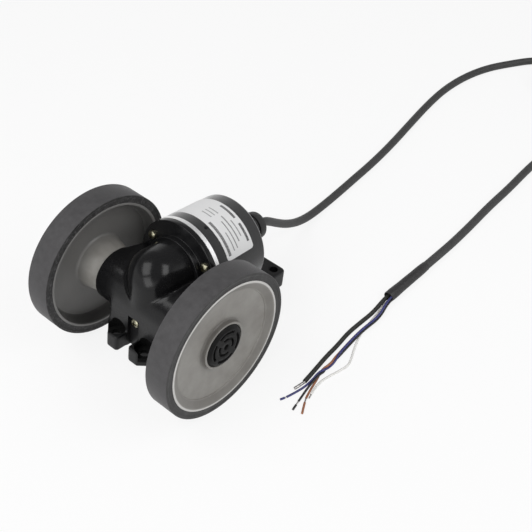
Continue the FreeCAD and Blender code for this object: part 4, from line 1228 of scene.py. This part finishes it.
# %% Cover, boot, cable and sleeve
def rear_edge_highlight(skin):
    """A mask for the painted highlight over the rounded rear edge of the cover."""
    return skin.times(
        skin.remap(skin.place["Along"], cover_back - COVER_ROUND, cover_back - COVER_ROUND * 0.5),
        skin.remap(skin.place["Shaft radius"], cover_rim - COVER_ROUND, cover_rim - COVER_ROUND * 0.6))


def moulding(name, low, high, roughness, scale, depth, specular=0.4, dusty=0.15, edge_highlight=None, sheen=0.0):
    """A moulded skin between two shades, with a painted highlight where an edge mask is given."""
    skin = Finish(name, specular=specular, sheen=sheen)
    clouds = skin.grain(0.35, 5.0)
    base = skin.dust(skin.shades(clouds, low, high), dusty, (126, 125, 123))
    if edge_highlight:
        # Painted highlight: a paler shade laid where the edge mask is white.
        base = skin.lay(base, skin.times(edge_highlight(skin), 0.8), (128, 128, 129))
    skin.finish(base, skin.spread(clouds, roughness, roughness + 0.12), skin.grain(scale, 3.0), depth)
    return skin


cover_skin = moulding("cover_skin", (26, 26, 27), (34, 34, 35), 0.4, 3.0, 0.03, specular=0.25, dusty=0.06,
                      edge_highlight=rear_edge_highlight, sheen=1.0)
boot_rubber = moulding("boot_rubber", (24, 24, 24), (34, 34, 34), 0.5, 4.0, 0.03, dusty=0.08)
cable_jacket = moulding("cable_jacket", (53, 53, 53), (65, 65, 65), 0.5, 2.5, 0.03, dusty=0.06)
sleeve_skin = moulding("sleeve_skin", (34, 33, 34), (48, 47, 48), 0.45, 1.2, 0.1, dusty=0.06)
cover_skin.dress(cover)
boot_rubber.dress(boot, "axle_seals", "coil_tie")
cable_jacket.dress(cable)
sleeve_skin.dress(sleeve)

# %% [markdown]
# The label is white film with plain ruled lines, as on a form that is still to be filled in. Each line is a
# patch of the cover: so far along it, and so far round it. Two Compare nodes test that, and the patches are
# added up.

# %% Label print
RULES = (
    (0.84, 0.92, 0.95, 0.0, 24.0), (0.84, 0.92, 1.0, 32.0, 55.0), (0.7, 0.735, 0.75, 24.0, 46.0),
    (0.56, 0.6, 0.8, 14.0, 50.0), (0.43, 0.465, 0.8, 20.0, 56.0), (0.3, 0.335, 0.75, 34.0, 57.0),
    (0.08, 0.17, 0.9, 14.0, 60.0), (0.56, 0.6, 0.6, -6.0, 9.0), (0.43, 0.47, 0.6, -6.0, 9.0),
    (0.3, 0.34, 0.6, -6.0, 9.0))
film = Finish("label_film", specular=0.45)


def within(value, low, high):
    """1 where a value lies between two others."""
    return film.calc("COMPARE", value, (low + high) / 2, (high - low) / 2)


share = film.remap(film.place["Along"], label_front, label_back)
ink = 0.0
for start, end, strength, first, last in RULES:
    patch = film.times(within(share, start, end),
                       within(film.place["Turn"], math.radians(first), math.radians(last)))
    ink = film.calc("ADD", film.times(patch, strength), ink)
ink_grain = film.grain(2.4, 3.0)
ink = film.times(ink, film.remap(ink_grain, 0.3, 0.6, 0.55, 1.0))
paper = film.blend(ink_grain, colour(222, 222, 222), colour(234, 234, 234))
film.finish(film.lay(paper, ink, (30, 30, 32)), film.remap(ink, 0.0, 1.0, 0.38, 0.55), ink_grain, 0.01)
film.dress(label)

# %% [markdown]
# Wire insulation is a thin coloured plastic, a little glossier than the jacket. The tinned ends are metal.
# The inner pieces, which show only when the part is opened, get their finishes too: steel shaft and
# bearings, cut gears, a brass hub, a green board and black optics.

# %% Wires and inner pieces
insulation = {
    "wire_shield": moulding("shield_tube", (24, 26, 22), (36, 38, 33), 0.5, 2.0, 0.04),
    "wire_blue": moulding("blue_insulation", (42, 44, 98), (58, 60, 124), 0.36, 3.0, 0.02),
    "wire_black": moulding("black_insulation", (22, 22, 24), (32, 32, 34), 0.36, 3.0, 0.02),
    "wire_brown": moulding("brown_insulation", (130, 80, 56), (170, 114, 82), 0.36, 3.0, 0.02),
    "wire_white": moulding("white_insulation", (228, 227, 223), (242, 241, 238), 0.36, 3.0, 0.02)}
for name, skin in insulation.items():
    skin.dress(wires[name], *slugs[name])
tin.dress(*wire_tips.values())
board_laminate = moulding("board_laminate", (16, 78, 42), (26, 98, 54), 0.35, 1.5, 0.02)
optic_black = moulding("optic_black", (20, 20, 22), (30, 30, 32), 0.4, 3.0, 0.02)
by_slot = {"steel": ground_steel, "gear_steel": gear_steel, "brass": turned_brass, "screw": screw_plate,
           "board": board_laminate, "optics": optic_black, "rubber": boot_rubber, "base": turned_metal}
dressed = ("encoder_base", "axle_seals", "coil_tie", "cover_screws")
slots = {part["node"]: part["material_slot"] for part in frame["record"]["subparts"]}
shown = [name for name, piece in nodes.items() if not piece.hide_render]
for name in shown:
    if slots.get(name) in by_slot and name not in dressed:
        by_slot[slots[name]].dress(name)
print("CAD nodes that stay in view:", shown)

# %% [markdown]
# ## The studio
# A pale floor carries the shadow, and looks white to the camera. Beyond it stands a white backdrop, up to
# about twenty degrees, under a grey sky. The camera, gloss and transmission rays see that white, and only the
# lamps and the grey light the part.

# %% Floor and sky
WHITE = (1.0, 1.0, 1.0, 1.0)


def empty_nodes(owner):
    """The cleared tree of a material or of a world."""
    owner.use_nodes = True
    owner.node_tree.nodes.clear()
    return Nodes(owner.node_tree)


def show_white(paint, output, dull, white, share):
    """Lights the part by a dull shader, and shows the rays that look a share of a white one."""
    rays = paint.add("ShaderNodeLightPath").outputs
    looking = paint.calc("MAXIMUM", rays["Is Camera Ray"], rays["Is Glossy Ray"])
    looking = paint.calc("MAXIMUM", looking, rays["Is Transmission Ray"])
    mixed = paint.add("ShaderNodeMixShader", {0: paint.times(looking, share), 1: dull.outputs[0],
                                              2: white.outputs[0]})
    paint.add(output, {"Surface": mixed.outputs[0]})


bpy.ops.object.select_all(action="DESELECT")
bpy.ops.mesh.primitive_plane_add(size=6.0, location=ORIGIN)
floor = bpy.context.object
floor.name = "studio_floor"
floor_paint = bpy.data.materials.new("floor_paint")
paint = empty_nodes(floor_paint)
show_white(paint, "ShaderNodeOutputMaterial",
           paint.add("ShaderNodeBsdfDiffuse", {"Color": (0.86, 0.86, 0.86, 1.0)}),
           paint.add("ShaderNodeEmission", {"Color": WHITE, "Strength": 1.0}), 0.85)
floor.data.materials.append(floor_paint)

world = bpy.data.worlds.new("studio_sky")
bpy.context.scene.world = world
paint = empty_nodes(world)
backdrop = paint.remap(paint.upward(paint.add("ShaderNodeTexCoord").outputs["Generated"]), 0.5, 0.3)
show_white(paint, "ShaderNodeOutputWorld",
           paint.add("ShaderNodeBackground", {"Color": (0.32, 0.32, 0.325, 1.0), "Strength": 1.0}),
           paint.add("ShaderNodeBackground", {"Color": WHITE, "Strength": 1.0}), backdrop)
bpy.context.scene.view_settings.view_transform = "Standard"
print("floor and sky")

# %% [markdown]
# The lamps are soft boxes. They stand where the photograph's reflections in the dome say that they were: two
# in a row in front on the left, and a small one on the right.

# %% Lamps
AIM = Vector((0.0, -0.005, 0.045))


def soft_box(name, direction, distance, width, height, roll, radiance):
    """A lamp aimed at the part and rolled by some degrees; its power follows from its size."""
    place = AIM + Vector(direction).normalized() * distance
    turn = (AIM - place).to_track_quat("-Z", "Y") @ Quaternion((0.0, 0.0, 1.0), math.radians(roll))
    bpy.ops.object.select_all(action="DESELECT")
    bpy.ops.object.light_add(type="AREA", location=place, rotation=turn.to_euler())
    lamp = bpy.context.object
    lamp.name = name
    lamp.visible_camera = False
    lamp.data.shape = "RECTANGLE"
    lamp.data.size = width
    lamp.data.size_y = height
    lamp.data.energy = radiance * math.pi * width * height
    print(name, f"{lamp.data.energy:.1f} W")


soft_box("upper_box", (-0.235, -0.541, 0.879), 0.85, 0.46, 0.71, 52.0, 3.4)
soft_box("lower_box", (0.279, -1.066, 0.333), 0.92, 0.46, 0.6, 27.0, 2.8)
soft_box("right_box", (0.663, 0.241, 0.709), 0.8, 0.31, 0.58, -59.0, 4.0)
